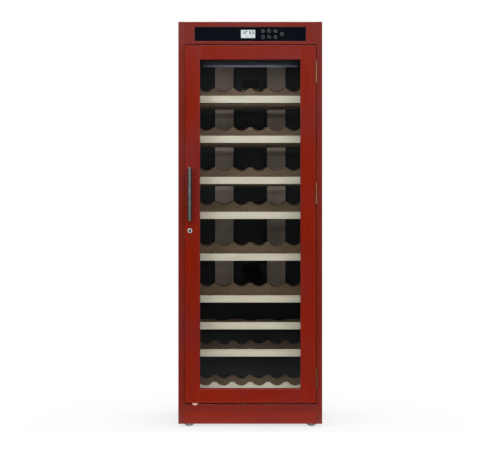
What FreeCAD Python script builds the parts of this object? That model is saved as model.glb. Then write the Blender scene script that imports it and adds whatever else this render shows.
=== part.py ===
import FreeCAD
import Part
import Sketcher
import math
import os

# A tall wine cabinet: a lacquered wooden case round an insulated cold room, a framed glass door,
# sliding shelves with hollowed cradles, an air duct on the rear wall and a machine bay at the
# bottom rear.
# Lengths are millimetres and angles degrees. The front faces -Y and the feet stand on Z = 0.

SIZES = {
    # places along a shelf
    "bottle_radius": 38,
    "bottle_pitch": 83,
    "bottle_places": 6,
    "rack_end_margin": 3,
    "cradle_clearance": 0.5,
    "cradle_thickness": 18,
    "cradle_horn": 16,
    "front_cradle_reach": 50,
    "rear_cradle_reach": 165,
    "display_tilt": 22,
    "low_tilt": 14,
    "flat_tilt": 4,
    "rack_tilt": 7,
    "rack_axis_height": 52,
    "rack_front_reach": 16,
    "turned_end_margin": 5.5,
    "turned_setback": 80,
    "turned_rise": 1,
    "turned_tilt": 2,
    "turned_cradle_reach": 225,
    "bottle_base_offset": 17,
    "bottle_base_rise": 8,
    # shelves and runners
    "board_height": 33,
    "board_thickness": 20,
    "bearer_thickness": 15,
    "bearer_height": 28,
    "crossbar_height": 14,
    "crossbar_thickness": 18,
    "shelf_side_gap": 3,
    "shelf_setback": 62,
    "shelf_rear_gap": 52.5,
    "runner_sheet": 1.5,
    "runner_grip": 11,
    "runner_clearance": 0.3,
    "runner_setback": 2,
    "rack_strip_width": 15,
    "rack_strip_height": 12,
    # heights of the bays, counted from the top shelf down
    "bay_1_height": 184,
    "bay_2_height": 184.5,
    "bay_3_height": 190,
    "bay_4_height": 161.5,
    "bay_5_height": 193,
    "bay_6_height": 193.5,
    "bay_7_height": 124,
    "bay_8_height": 125.5,
    "bay_9_height": 184,
    # case
    "side_thickness": 25,
    "front_thickness": 22,
    "top_thickness": 22,
    "base_thickness": 18,
    "foot_height": 14,
    "plinth_height": 61,
    "plinth_setback": 2,
    "base_rail_height": 27.5,
    "header_height": 103,
    # cold room
    "liner_thickness": 2.5,
    "inner_depth": 542.5,
    "sill_drop": 13,
    "ceiling_rise": 27.5,
    "side_insulation": 30,
    "rear_insulation": 45,
    "top_insulation": 45,
    "floor_insulation": 42,
    "machine_insulation": 30,
    "pan_thickness": 1.5,
    "back_thickness": 4,
    "machine_depth": 222,
    "step_clearance": 16,
    "upright_width": 91,
    "upright_spacing": 256,
    "upright_thickness": 15,
    "upright_top_gap": 2,
    "lamp_length": 440,
    "lamp_width": 34,
    "lamp_height": 44,
    "lamp_setback": 42,
    "diffuser_height": 6,
    "diffuser_inset": 3,
    # door
    "door_thickness": 44,
    "door_side_gap": 3,
    "door_top_gap": 4,
    "door_bottom_gap": 6,
    "stile_width": 70,
    "rail_width": 64.5,
    "rebate_width": 12,
    "rebate_depth": 32,
    "pane_thickness": 4,
    "pane_gap": 16,
    "spacer_width": 8,
    "tenon_thickness": 10,
    "tenon_margin": 17,
    "tenon_length": 35,
    "seal_depth": 10,
    "seal_clearance": 0.3,
    "gasket_width": 18,
    "gasket_side_inset": 5,
    "gasket_end_inset": 10,
    # handle and lock
    "handle_inset": 24.8,
    "handle_centre": 950.5,
    "handle_length": 236,
    "handle_width": 21,
    "handle_bar_depth": 10.5,
    "handle_rounding": 2,
    "handle_standoff": 26,
    "inlay_width": 9.5,
    "inlay_overhang": 4,
    "inlay_depth": 1.5,
    "post_radius": 6,
    "post_inset": 30,
    "lock_centre": 784.5,
    "lock_rim_radius": 11,
    "lock_rim_depth": 2,
    "lock_body_radius": 9.5,
    "lock_body_depth": 16,
    "plug_radius": 6.5,
    "plug_front": 0.6,
    "plug_tail": 9,
    "key_slot_width": 1.6,
    "key_slot_height": 8,
    "key_slot_depth": 9,
    "cam_width": 12,
    "cam_thickness": 4,
    "cam_engagement": 8,
    "cam_clearance": 2,
    "turning_clearance": 0.05,
    "strike_thickness": 1.5,
    "strike_margin": 9,
    # hinges
    "hinge_height": 95,
    "hinge_top_offset": 119,
    "hinge_middle_offset": 674,
    "hinge_bottom_offset": 112.5,
    "leaf_width": 32,
    "leaf_clearance": 0.2,
    "knuckle_radius": 3.5,
    "knuckle_standoff": 0.4,
    "knuckle_gap": 0.3,
    "pin_radius": 1.75,
    "pin_fit": 0.02,
    "pin_tip": 2,
    "screw_head_radius": 3.4,
    "screw_radius": 1.9,
    "screw_length": 14,
    "screw_fit": 0.1,
    "screw_inset": 10,
    "glide_offset": 35,
    "glide_width": 26,
    "glide_depth": 18,
    "glide_sink": 4.5,
    "glide_clearance": 0.3,
    # control panel
    "panel_side_margin": 49,
    "panel_bottom_margin": 15.2,
    "panel_height": 64.5,
    "panel_thickness": 4,
    "panel_ledge": 9,
    "display_offset": 10,
    "display_width": 64.5,
    "display_height": 36.5,
    "display_sink": 0.4,
    "display_back": 3,
    "control_board_half": 160,
    "control_board_depth": 26,
    "control_board_gap": 1,
    # air path
    "duct_half_width": 68,
    "duct_depth": 38,
    "duct_sheet": 2,
    "duct_end_gap": 50,
    "duct_slot_height": 7,
    "duct_slot_pitch": 12,
    "duct_slot_half_width": 44,
    "fan_height": 90,
    "fan_radius": 44,
    "hub_radius": 15,
    "hub_depth": 15,
    "blade_width": 16,
    "blade_thickness": 2,
    "motor_radius": 17,
    "motor_depth": 12,
    "motor_gap": 1,
    "shaft_radius": 1.5,
    "coil_half_width": 54,
    "coil_depth": 22,
    "coil_plate": 3,
    "coil_fin": 2,
    "coil_end_gap": 60,
    # cooling machine
    "compressor_offset": -60,
    "compressor_radius": 72,
    "compressor_height": 140,
    "compressor_rounding": 34,
    "compressor_plate": 3,
    "compressor_plate_width": 196,
    "compressor_plate_depth": 150,
    "mount_radius": 12,
    "mount_height": 14,
    "mount_inset": 16,
    "tray_length": 170,
    "tray_width": 120,
    "tray_height": 26,
    "tray_sheet": 2,
    "condenser_recess": 32,
    "tube_radius": 3,
    "tube_standoff": 14,
    "tube_half_run": 215,
    "tube_pitch": 70,
    "tube_tail": 70,
    "tube_start": 90,
    "wire_radius": 0.9,
    "wire_pitch": 22,
    "wire_overhang": 14,
    "clip_width": 20,
    "clip_height": 16,
    "clip_offset": 150,
    "tube_fit": 0.05,
    "inlet_offset": 87.5,
    "inlet_width": 40,
    "inlet_height": 32,
    "inlet_depth": 30,
    "inlet_wall": 6,
    "inlet_recess": 18,
    "inlet_pin_width": 2,
    "inlet_pin_height": 4,
    "inlet_pin_pitch": 7,
    # feet
    "foot_radius": 24,
    "foot_curve_radius": 27,
    "foot_curve_drop": 1.5,
    "foot_gap": 0.3,
    "foot_side_inset": 47.5,
    "foot_end_inset": 45,
    "stud_radius": 4,
    "stud_end_gap": 2,
}

SHELF_COUNT = 8
PLAIN_SHELVES = 6
TURNED_SHELF = 7
FAN_BLADES = 7
BLADE_PITCH = 35
TUBE_RUNS = 16
TURNED_BASE_PLACES = 4
TURNED_NECK_PLACES = 3
FAN_SLOTS = 7
OUTLET_SLOTS = 5
COIL_FINS = 12

document = FreeCAD.newDocument("wine_cabinet")
sheet = document.addObject("Spreadsheet::Sheet", "sizes")
for row, (alias, value) in enumerate(SIZES.items(), start=1):
    sheet.set(f"A{row}", alias)
    sheet.set(f"B{row}", str(value))
    sheet.setAlias(f"B{row}", alias)
document.recompute()

# Places shared by several pieces, as expressions on the sheet.
rack_half = "(sizes.bottle_places * sizes.bottle_pitch / 2 + sizes.rack_end_margin)"
shelf_half = f"({rack_half} + sizes.bearer_thickness)"
liner_half = f"({shelf_half} + sizes.shelf_side_gap)"
liner_outer = f"({liner_half} + sizes.liner_thickness)"
case_half = f"({liner_outer} + sizes.side_insulation)"
outer_half = f"({case_half} + sizes.side_thickness)"
door_half = f"({case_half} - sizes.door_side_gap)"
sight_half = f"({door_half} - sizes.stile_width)"
panel_half = f"({case_half} - sizes.panel_side_margin)"

projection = "(sizes.handle_standoff + sizes.handle_bar_depth + sizes.inlay_depth)"
case_depth = (
    "(sizes.door_thickness + sizes.seal_depth + sizes.inner_depth + sizes.liner_thickness"
    " + sizes.rear_insulation + sizes.back_thickness + sizes.condenser_recess)"
)
front = f"(({projection} - {case_depth}) / 2)"
rear = f"({front} + {case_depth})"
frame_back = f"({front} + sizes.front_thickness)"
door_back = f"({front} + sizes.door_thickness)"
liner_front = f"({door_back} + sizes.seal_depth)"
foam_front = f"({liner_front} + sizes.liner_thickness)"
liner_rear = f"({liner_front} + sizes.inner_depth)"
back_front = f"({liner_rear} + sizes.liner_thickness + sizes.rear_insulation)"
back_rear = f"({back_front} + sizes.back_thickness)"
machine_front = f"({rear} - sizes.machine_depth)"
pan_leg_rear = f"({foam_front} + sizes.pan_thickness)"
riser_front = f"({machine_front} - sizes.pan_thickness)"
floor_rear = f"({riser_front} - sizes.machine_insulation - sizes.liner_thickness)"
shelf_front = f"({door_back} + sizes.shelf_setback)"
shelf_end = f"({liner_rear} - sizes.duct_depth - sizes.shelf_rear_gap)"
bottle_base = f"({shelf_front} + sizes.bottle_base_offset)"
duct_front = f"({liner_rear} - sizes.duct_depth)"

base_top = "(sizes.foot_height + sizes.base_thickness)"
plinth_top = "(sizes.foot_height + sizes.plinth_height)"
base_rail_top = f"({plinth_top} + sizes.base_rail_height)"
door_bottom = f"({base_rail_top} + sizes.door_bottom_gap)"
sight_bottom = f"({door_bottom} + sizes.rail_width)"
floor = f"({sight_bottom} - sizes.sill_drop)"
shelf_top = {SHELF_COUNT: f"({floor} + sizes.bay_{SHELF_COUNT + 1}_height)"}
for number in range(SHELF_COUNT - 1, 0, -1):
    shelf_top[number] = f"({shelf_top[number + 1]} + sizes.bay_{number + 1}_height)"
ceiling = f"({shelf_top[1]} + sizes.bay_1_height)"
sight_top = f"({ceiling} - sizes.ceiling_rise)"
door_top = f"({sight_top} + sizes.rail_width)"
header_bottom = f"({door_top} + sizes.door_top_gap)"
case_top = f"({header_bottom} + sizes.header_height)"
step_top = f"({floor} + sizes.bay_{SHELF_COUNT + 1}_height - sizes.board_height - sizes.step_clearance)"
machine_top = f"({step_top} - sizes.liner_thickness - sizes.machine_insulation - sizes.pan_thickness)"
pan_bottom = f"({floor} - sizes.liner_thickness - sizes.floor_insulation - sizes.pan_thickness)"
pan_top = f"({pan_bottom} + sizes.pan_thickness)"
bay_back_bottom = f"({machine_top} + sizes.pan_thickness)"
foam_top = f"({ceiling} + sizes.liner_thickness + sizes.top_insulation)"

AXIS_TURNS = {
    "x": FreeCAD.Rotation(FreeCAD.Vector(0, 1, 0), 90),
    "y": FreeCAD.Rotation(FreeCAD.Vector(1, 0, 0), -90),
    "z": FreeCAD.Rotation(),
}
sub_parts = []


def value_of(alias):
    return float(sheet.get(alias))


def number_from(expression):
    """The number that an expression on the sheet gives."""
    return float(document.sizes.evalExpression(expression))


def keep(piece):
    """Mark a document object as one named sub-part of the cabinet."""
    sub_parts.append(piece)
    return piece


def place(piece, position):
    for axis, expression in zip("xyz", position):
        piece.setExpression(f"Placement.Base.{axis}", expression)


def both(half):
    return (f"-{half}", half)


def centred(centre, width):
    return (f"{centre} - {width} / 2", f"{centre} + {width} / 2")


def box(name, x, y, z):
    """A block between a low and a high expression along each axis."""
    piece = document.addObject("Part::Box", name)
    for edge, (low, high) in zip(("Length", "Width", "Height"), (x, y, z)):
        piece.setExpression(edge, f"({high}) - ({low})")
    place(piece, (x[0], y[0], z[0]))
    return piece


def mirrored_boxes(name, x, y, z):
    """The same block on the left and on the right of the middle plane."""
    low, high = x
    left = box(f"{name}_left", (f"-({high})", f"-({low})"), y, z)
    return [left, box(f"{name}_right", x, y, z)]


def cylinder(name, radius, length, start, axis):
    piece = document.addObject("Part::Cylinder", name)
    piece.setExpression("Radius", radius)
    piece.setExpression("Height", length)
    piece.Placement = FreeCAD.Placement(FreeCAD.Vector(), AXIS_TURNS[axis])
    place(piece, start)
    return piece


def bottle_space(name, tilt, length, start):
    """The round space of one place, leaning up from its front end by the tilt."""
    piece = document.addObject("Part::Cylinder", name)
    piece.setExpression("Radius", "sizes.bottle_radius + sizes.cradle_clearance")
    piece.setExpression("Height", length)
    piece.Placement = FreeCAD.Placement(FreeCAD.Vector(), AXIS_TURNS["y"])
    piece.setExpression("Placement.Rotation.Angle", f"({tilt} - 90) * 1 deg")
    place(piece, start)
    return piece


def fuse(name, pieces):
    piece = document.addObject("Part::MultiFuse", name)
    piece.Shapes = pieces
    piece.Refine = True
    return piece


def cut(name, base, tools):
    piece = document.addObject("Part::Cut", name)
    piece.Base = base
    piece.Tool = tools[0] if len(tools) == 1 else fuse(f"{name}_openings", tools)
    piece.Refine = True
    return piece


def common(name, pieces):
    piece = document.addObject("Part::MultiCommon", name)
    piece.Shapes = pieces
    return piece


def group(name, pieces):
    """Several equal or glued pieces kept as separate solids of one sub-part."""
    piece = document.addObject("Part::Compound", name)
    piece.Links = pieces
    return piece


def sketch_on(body, name, role):
    sketch = body.newObject("Sketcher::SketchObject", name)
    plane = next(item for item in body.Origin.OriginFeatures if item.Role == role)
    sketch.AttachmentSupport = (plane, [""])
    sketch.MapMode = "FlatFace"
    return sketch


def sketch_rectangle(sketch, across, up):
    """A rectangle tied to the sketch origin by expressions."""
    corners = [(across[0], up[0]), (across[1], up[0]), (across[1], up[1]), (across[0], up[1])]
    points = [FreeCAD.Vector(number_from(a), number_from(b), 0) for a, b in corners]
    for index, point in enumerate(points):
        sketch.addGeometry(Part.LineSegment(point, points[(index + 1) % 4]))
    for index in range(4):
        sketch.addConstraint(Sketcher.Constraint("Coincident", index, 2, (index + 1) % 4, 1))
    for index, (point, corner) in enumerate(zip(points, corners)):
        for kind, length, expression in (
            ("DistanceX", point.x, corner[0]),
            ("DistanceY", point.y, corner[1]),
        ):
            number = sketch.addConstraint(Sketcher.Constraint(kind, -1, 1, index, 1, length))
            sketch.setExpression(f"Constraints[{number}]", expression)


def sketch_circle(sketch, radius):
    """A circle round the sketch origin."""
    ring = Part.Circle(FreeCAD.Vector(), FreeCAD.Vector(0, 0, 1), number_from(radius))
    sketch.addGeometry(ring)
    sketch.addConstraint(Sketcher.Constraint("Coincident", 0, 3, -1, 1))
    number = sketch.addConstraint(Sketcher.Constraint("Radius", 0, number_from(radius)))
    sketch.setExpression(f"Constraints[{number}]", radius)


def pad(body, sketch, length, backwards):
    feature = body.newObject("PartDesign::Pad", f"{sketch.Name}_pad")
    feature.Profile = sketch
    feature.setExpression("Length", length)
    feature.Reversed = backwards
    return feature


def pocket(body, sketch, length):
    feature = body.newObject("PartDesign::Pocket", f"{sketch.Name}_pocket")
    feature.Profile = sketch
    feature.setExpression("Length", length)
    return feature


def round_all_edges(body, feature, radius):
    fillet = body.newObject("PartDesign::Fillet", f"{body.Name}_rounding")
    fillet.Base = (feature, [""])
    fillet.UseAllEdges = True
    fillet.setExpression("Radius", radius)
    return fillet


# Wooden case
case_y = (front, rear)
case_z = ("sizes.foot_height", case_top)
hinge_centres = (
    f"({door_top} - sizes.hinge_top_offset)",
    f"({door_top} - sizes.hinge_middle_offset)",
    f"({door_bottom} + sizes.hinge_bottom_offset)",
)
SCREW_SPOTS = ((-0.37, 1), (-0.13, 2), (0.13, 2), (0.37, 1))


def hinge_screw_spots(label):
    """Name, distance behind the front plane and height of each hinge screw."""
    for hinge, centre in enumerate(hinge_centres, start=1):
        for spot, (share, column) in enumerate(SCREW_SPOTS, start=1):
            back = f"{front} + sizes.screw_inset * {column}"
            height = f"{centre} + sizes.hinge_height * {share}"
            yield f"{label}_{hinge}_{spot}", back, height


def screw_holes(label, radius, length, start_x):
    return [
        cylinder(name, radius, length, (start_x, back, height), "x")
        for name, back, height in hinge_screw_spots(label)
    ]


lock_x = f"(-{door_half} + sizes.handle_inset)"
lock_z = f"({door_bottom} + sizes.lock_centre)"
lock_edge = "(sizes.handle_inset + sizes.door_side_gap)"
cam_reach = f"({lock_edge} + sizes.cam_engagement)"
cam_sweep = (
    f"sqrt({cam_reach} * {cam_reach} - {lock_edge} * {lock_edge}"
    " + sizes.cam_width * sizes.cam_width / 4)"
)
cam_front = f"({front} + sizes.lock_body_depth + sizes.cam_clearance)"
cam_back = f"({cam_front} + sizes.cam_thickness)"
cam_y = (f"{cam_front} - sizes.cam_clearance", f"{cam_back} + sizes.cam_clearance")
slot_z = (
    f"{lock_z} - {cam_sweep} - sizes.cam_clearance",
    f"{lock_z} + sizes.cam_width / 2 + sizes.cam_clearance",
)
strike_y = (f"{cam_y[0]} - sizes.strike_margin / 2", f"{cam_y[1]} + sizes.strike_margin / 2")
strike_z = (f"{slot_z[0]} - sizes.strike_margin", f"{slot_z[1]} + sizes.strike_margin")
strike_x = (f"-{case_half} - sizes.strike_thickness", f"-{case_half}")
slot_x = (f"{strike_x[0]} - sizes.cam_engagement - sizes.cam_clearance", strike_x[1])

left_board = box("left_board", (f"-{outer_half}", f"-{case_half}"), case_y, case_z)
strike_seat = box("strike_seat", strike_x, strike_y, strike_z)
cam_slot = box("cam_slot", slot_x, cam_y, slot_z)
keep(cut("left_side_panel", left_board, [strike_seat, cam_slot]))

strike_plate = box("strike_plate", strike_x, strike_y, strike_z)
strike_slot = box("strike_slot", slot_x, cam_y, slot_z)
keep(cut("lock_strike", strike_plate, [strike_slot]))

right_board = box("right_board", (case_half, outer_half), case_y, case_z)
case_holes = screw_holes(
    "case_hole", "sizes.screw_radius + sizes.screw_fit", "sizes.screw_length", case_half
)
keep(cut("right_side_panel", right_board, case_holes))

keep(
    box(
        "top_panel",
        both(case_half),
        (frame_back, rear),
        (f"{case_top} - sizes.top_thickness", case_top),
    )
)
keep(
    box(
        "back_panel",
        both(case_half),
        (back_front, back_rear),
        (bay_back_bottom, f"{case_top} - sizes.top_thickness"),
    )
)

panel_bottom = f"({header_bottom} + sizes.panel_bottom_margin)"
panel_top = f"({panel_bottom} + sizes.panel_height)"
panel_middle = f"({panel_bottom} + sizes.panel_height / 2)"
control_rail = document.addObject("PartDesign::Body", "control_rail")
control_rail.setExpression("Placement.Base.y", front)
rail_sketch = sketch_on(control_rail, "control_rail_outline", "XZ_Plane")
sketch_rectangle(rail_sketch, both(case_half), (header_bottom, case_top))
pad(control_rail, rail_sketch, "sizes.front_thickness", True)
recess_sketch = sketch_on(control_rail, "panel_recess", "XZ_Plane")
sketch_rectangle(recess_sketch, both(panel_half), (panel_bottom, panel_top))
pocket(control_rail, recess_sketch, "sizes.panel_thickness")
window_sketch = sketch_on(control_rail, "panel_window", "XZ_Plane")
window_half = f"({panel_half} - sizes.panel_ledge)"
window_z = (f"{panel_bottom} + sizes.panel_ledge", f"{panel_top} - sizes.panel_ledge")
sketch_rectangle(window_sketch, both(window_half), window_z)
pocket(control_rail, window_sketch, "sizes.front_thickness")
keep(control_rail)

plinth_y = (f"{front} + sizes.plinth_setback", frame_back)
keep(box("plinth", both(case_half), plinth_y, ("sizes.foot_height", plinth_top)))

# Base rail, with the half-round glide that carries the closing edge of the door
glide_middle = f"(-{door_half} + sizes.glide_offset + sizes.glide_width / 2)"
glide_bottom = f"({base_rail_top} - sizes.glide_sink)"
glide_height = "(sizes.glide_sink + sizes.door_bottom_gap - sizes.glide_clearance)"
glide_radius = f"(((sizes.glide_width / 2)^2 + {glide_height}^2) / (2 * {glide_height}))"
glide_disc = cylinder(
    "glide_disc",
    glide_radius,
    "sizes.glide_depth",
    (glide_middle, front, f"{glide_bottom} + {glide_radius}"),
    "y",
)
glide_block = box(
    "glide_block",
    centred(glide_middle, "sizes.glide_width"),
    (front, f"{front} + sizes.glide_depth"),
    (glide_bottom, f"{glide_bottom} + {glide_height}"),
)
rail_board = box("base_rail_board", both(case_half), (front, frame_back), (plinth_top, base_rail_top))
keep(cut("base_rail", rail_board, [glide_disc]))
keep(common("door_glide", [glide_block, glide_disc]))

foot_x = f"({outer_half} - sizes.foot_side_inset)"
foot_spots = {
    "front_left": (f"-{foot_x}", f"({front} + sizes.foot_end_inset)"),
    "front_right": (foot_x, f"({front} + sizes.foot_end_inset)"),
    "rear_left": (f"-{foot_x}", f"({rear} - sizes.foot_end_inset)"),
    "rear_right": (foot_x, f"({rear} - sizes.foot_end_inset)"),
}
base_board = box("base_board", both(case_half), (frame_back, rear), ("sizes.foot_height", base_top))
stud_holes = [
    cylinder(
        f"stud_hole_{corner}",
        "sizes.stud_radius + sizes.turning_clearance",
        "sizes.base_thickness",
        (x, y, "sizes.foot_height"),
        "z",
    )
    for corner, (x, y) in foot_spots.items()
]
keep(cut("base_panel", base_board, stud_holes))


# Feet, turned from bar with a rounded underside and a threaded stud
def foot(corner):
    x, y = foot_spots[corner]
    drum = cylinder(
        f"foot_drum_{corner}", "sizes.foot_radius", "sizes.foot_height - sizes.foot_gap", (x, y, "0"), "z"
    )
    ball = document.addObject("Part::Sphere", f"foot_ball_{corner}")
    ball.setExpression("Radius", "sizes.foot_curve_radius")
    place(ball, (x, y, "sizes.foot_curve_radius - sizes.foot_curve_drop"))
    bowl = common(f"foot_bowl_{corner}", [drum, ball])
    stud_start = "sizes.foot_height / 2"
    stud_length = f"{base_top} - sizes.stud_end_gap - {stud_start}"
    stud = cylinder(f"foot_stud_{corner}", "sizes.stud_radius", stud_length, (x, y, stud_start), "z")
    return fuse(f"foot_{corner}", [bowl, stud])


keep(foot("front_left"))
keep(foot("front_right"))
keep(group("rear_feet", [foot("rear_left"), foot("rear_right")]))

# Cold room: folded floor pan, liner with a step over the machine bay, foam round it
pan_pieces = [
    box("pan_floor", both(case_half), (foam_front, machine_front), (pan_bottom, pan_top)),
    box("pan_leg", both(case_half), (foam_front, pan_leg_rear), (base_top, pan_top)),
    box("pan_riser", both(case_half), (riser_front, machine_front), (pan_bottom, bay_back_bottom)),
    box("pan_shelf", both(case_half), (riser_front, back_rear), (machine_top, bay_back_bottom)),
]
keep(fuse("underfloor_pan", pan_pieces))


def liner_boxes(name, half, start, margin):
    """The cold room as two blocks, grown by a margin on every side but the front."""
    low = f"{floor} - {margin}"
    step = f"{step_top} - {margin}"
    high = f"{ceiling} + {margin}"
    tall = box(f"{name}_tall", both(half), (start, f"{liner_rear} + {margin}"), (step, high))
    deep = box(f"{name}_deep", both(half), (start, f"{floor_rear} + {margin}"), (low, high))
    return [tall, deep]


liner_skin = liner_boxes("liner_outside", liner_outer, liner_front, "sizes.liner_thickness")
liner_skin.append(
    box("liner_flange", both(case_half), (liner_front, foam_front), (base_rail_top, header_bottom))
)
liner_space = liner_boxes("liner_inside", liner_half, liner_front, "0")
keep(cut("inner_liner", fuse("liner_block", liner_skin), liner_space))

foam_blocks = [
    box("foam_front_block", both(case_half), (foam_front, riser_front), (pan_top, foam_top)),
    box("foam_rear_block", both(case_half), (riser_front, back_front), (bay_back_bottom, foam_top)),
]
foam_space = liner_boxes("foam_inside", liner_outer, foam_front, "sizes.liner_thickness")
keep(cut("foam_insulation", fuse("foam_block", foam_blocks), foam_space))

upright_x = centred("sizes.upright_spacing / 2", "sizes.upright_width")
upright_y = (f"{liner_rear} - sizes.upright_thickness", liner_rear)
upright_z = (f"{shelf_top[PLAIN_SHELVES]} - sizes.board_height", f"{ceiling} - sizes.upright_top_gap")
keep(group("back_uprights", mirrored_boxes("upright", upright_x, upright_y, upright_z)))

lamp_y = (
    f"{liner_front} + sizes.lamp_setback",
    f"{liner_front} + sizes.lamp_setback + sizes.lamp_width",
)
lamp_bottom = f"{ceiling} - sizes.lamp_height"
keep(box("lamp_housing", both("sizes.lamp_length / 2"), lamp_y, (lamp_bottom, ceiling)))
keep(
    box(
        "lamp_diffuser",
        both("(sizes.lamp_length / 2 - sizes.diffuser_inset)"),
        (f"{lamp_y[0]} + sizes.diffuser_inset", f"{lamp_y[1]} - sizes.diffuser_inset"),
        (f"{lamp_bottom} - sizes.diffuser_height", lamp_bottom),
    )
)


# Shelves: a front board, two bearers in the runners and scalloped cross boards as cradles
def even_spots(count, pitch):
    return [f"({index - (count - 1) / 2}) * {pitch}" for index in range(count)]


def cradle(name, spots, tilt, start, reach, bottom):
    """A cross board with one hollow per place, at a reach along the place from its front end."""
    start_y, start_z = start
    run = f"cos({tilt} * 1 deg)"
    rise = f"sin({tilt} * 1 deg)"
    middle = f"({start_y} + {reach} * {run} + sizes.bottle_radius * {rise})"
    underside = f"({start_z} + {reach} * {rise} - sizes.bottle_radius * {run})"
    board = box(
        f"{name}_board",
        both(rack_half),
        centred(middle, "sizes.cradle_thickness"),
        (bottom, f"{underside} + sizes.cradle_horn"),
    )
    length = f"{reach} * 2"
    spaces = [
        bottle_space(f"{name}_bottle_{index}", tilt, length, (spot, start_y, start_z))
        for index, spot in enumerate(spots, start=1)
    ]
    return cut(name, board, spaces)


plain_spots = even_spots(int(value_of("bottle_places")), "sizes.bottle_pitch")
turned_pitch = (
    f"(({rack_half} - sizes.bottle_radius - sizes.turned_end_margin) * 2 / {TURNED_BASE_PLACES - 1})"
)
turned_base_spots = even_spots(TURNED_BASE_PLACES, turned_pitch)
turned_neck_spots = even_spots(TURNED_NECK_PLACES, turned_pitch)


def shelf_tilt(number):
    if number <= PLAIN_SHELVES:
        return "sizes.display_tilt"
    return "sizes.flat_tilt" if number == TURNED_SHELF else "sizes.low_tilt"


def shelf(number):
    name = f"shelf_{number}"
    top = shelf_top[number]
    bottom = f"({top} - sizes.board_height)"
    board_back = f"({shelf_front} + sizes.board_thickness)"
    bearer_z = (bottom, f"{bottom} + sizes.bearer_height")
    pieces = [box(f"{name}_front", both(shelf_half), (shelf_front, board_back), (bottom, top))]
    pieces += mirrored_boxes(f"{name}_bearer", (rack_half, shelf_half), (board_back, shelf_end), bearer_z)
    spots = turned_base_spots if number == TURNED_SHELF else plain_spots
    start = (bottle_base, f"({top} + sizes.bottle_base_rise)")
    tilt = shelf_tilt(number)
    for place_name in ("front_cradle", "rear_cradle"):
        pieces.append(
            cradle(f"{name}_{place_name}", spots, tilt, start, f"sizes.{place_name}_reach", bottom)
        )
    if number == TURNED_SHELF:
        neck_end = (f"({start[0]} + sizes.turned_setback)", f"({start[1]} + sizes.turned_rise)")
        pieces.append(
            cradle(
                f"{name}_back_cradle",
                turned_neck_spots,
                "sizes.turned_tilt",
                neck_end,
                "sizes.turned_cradle_reach",
                bottom,
            )
        )
    crossbar_y = (f"{shelf_end} - sizes.crossbar_thickness", shelf_end)
    crossbar_z = (bottom, f"{bottom} + sizes.crossbar_height")
    pieces.append(box(f"{name}_crossbar", both(rack_half), crossbar_y, crossbar_z))
    return group(name, pieces)


for number in range(1, SHELF_COUNT + 1):
    keep(shelf(number))


def runner(number, side, sign):
    """A folded channel on the liner wall that holds one shelf bearer."""
    bottom = f"({shelf_top[number]} - sizes.board_height)"
    inner = f"({shelf_half} - sizes.runner_grip)"
    web = f"({liner_half} - sizes.runner_sheet)"
    y = (f"{shelf_front} + sizes.board_thickness + sizes.runner_setback", shelf_end)
    low = f"{bottom} - sizes.runner_clearance"
    high = f"{bottom} + sizes.bearer_height + sizes.runner_clearance"
    spans = {"channel": (inner, liner_half), "groove": (inner, web)}
    if sign < 0:
        spans = {key: (f"-{far}", f"-{near}") for key, (near, far) in spans.items()}
    name = f"runner_{side}_{number}"
    outer_z = (f"{low} - sizes.runner_sheet", f"{high} + sizes.runner_sheet")
    block = box(f"{name}_block", spans["channel"], y, outer_z)
    groove = box(f"{name}_groove", spans["groove"], y, (low, high))
    return cut(name, block, [groove])


runners = []
for number in range(1, SHELF_COUNT + 1):
    runners.append(runner(number, "left", -1))
    runners.append(runner(number, "right", 1))
keep(group("shelf_runners", runners))

rack_start = (shelf_front, f"({floor} + sizes.rack_axis_height)")
rack_reaches = ("sizes.rack_front_reach", "sizes.rear_cradle_reach")
rack_pieces = []
rack_faces = []
for index, reach in enumerate(rack_reaches, start=1):
    rack_pieces.append(
        cradle(f"rack_cradle_{index}", plain_spots, "sizes.rack_tilt", rack_start, reach, floor)
    )
    tilt_y = f"{reach} * cos(sizes.rack_tilt * 1 deg) + sizes.bottle_radius * sin(sizes.rack_tilt * 1 deg)"
    rack_faces.append(f"({rack_start[0]} + {tilt_y})")
strip_y = (f"{rack_faces[0]} + sizes.cradle_thickness / 2", f"{rack_faces[1]} - sizes.cradle_thickness / 2")
strip_x = (f"{rack_half} - sizes.rack_strip_width", rack_half)
strip_z = (floor, f"{floor} + sizes.rack_strip_height")
rack_pieces += mirrored_boxes("rack_strip", strip_x, strip_y, strip_z)
keep(group("bottom_rack", rack_pieces))

# Air path on the rear wall: cover, evaporator, fan and motor
duct_z = (f"({shelf_top[PLAIN_SHELVES]})", f"({ceiling} - sizes.duct_end_gap)")
fan_z = f"({duct_z[0]} + sizes.fan_height)"
duct_half = "sizes.duct_half_width"
duct_block = box("duct_block", both(duct_half), (duct_front, liner_rear), duct_z)
duct_space = box(
    "duct_space",
    both(f"({duct_half} - sizes.duct_sheet)"),
    (f"{duct_front} + sizes.duct_sheet", liner_rear),
    (f"{duct_z[0]} + sizes.duct_sheet", f"{duct_z[1]} - sizes.duct_sheet"),
)
slot_y = (duct_front, f"{duct_front} + sizes.duct_sheet")
slot_heights = [
    f"({fan_z} + ({index - (FAN_SLOTS - 1) / 2}) * sizes.duct_slot_pitch)" for index in range(FAN_SLOTS)
]
slot_heights += [
    f"({duct_z[1]} - ({index + 2}) * sizes.duct_slot_pitch)" for index in range(OUTLET_SLOTS)
]
duct_slots = [
    box(
        f"duct_slot_{index}",
        both("sizes.duct_slot_half_width"),
        slot_y,
        centred(height, "sizes.duct_slot_height"),
    )
    for index, height in enumerate(slot_heights, start=1)
]
keep(cut("air_duct", duct_block, [duct_space] + duct_slots))

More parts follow.
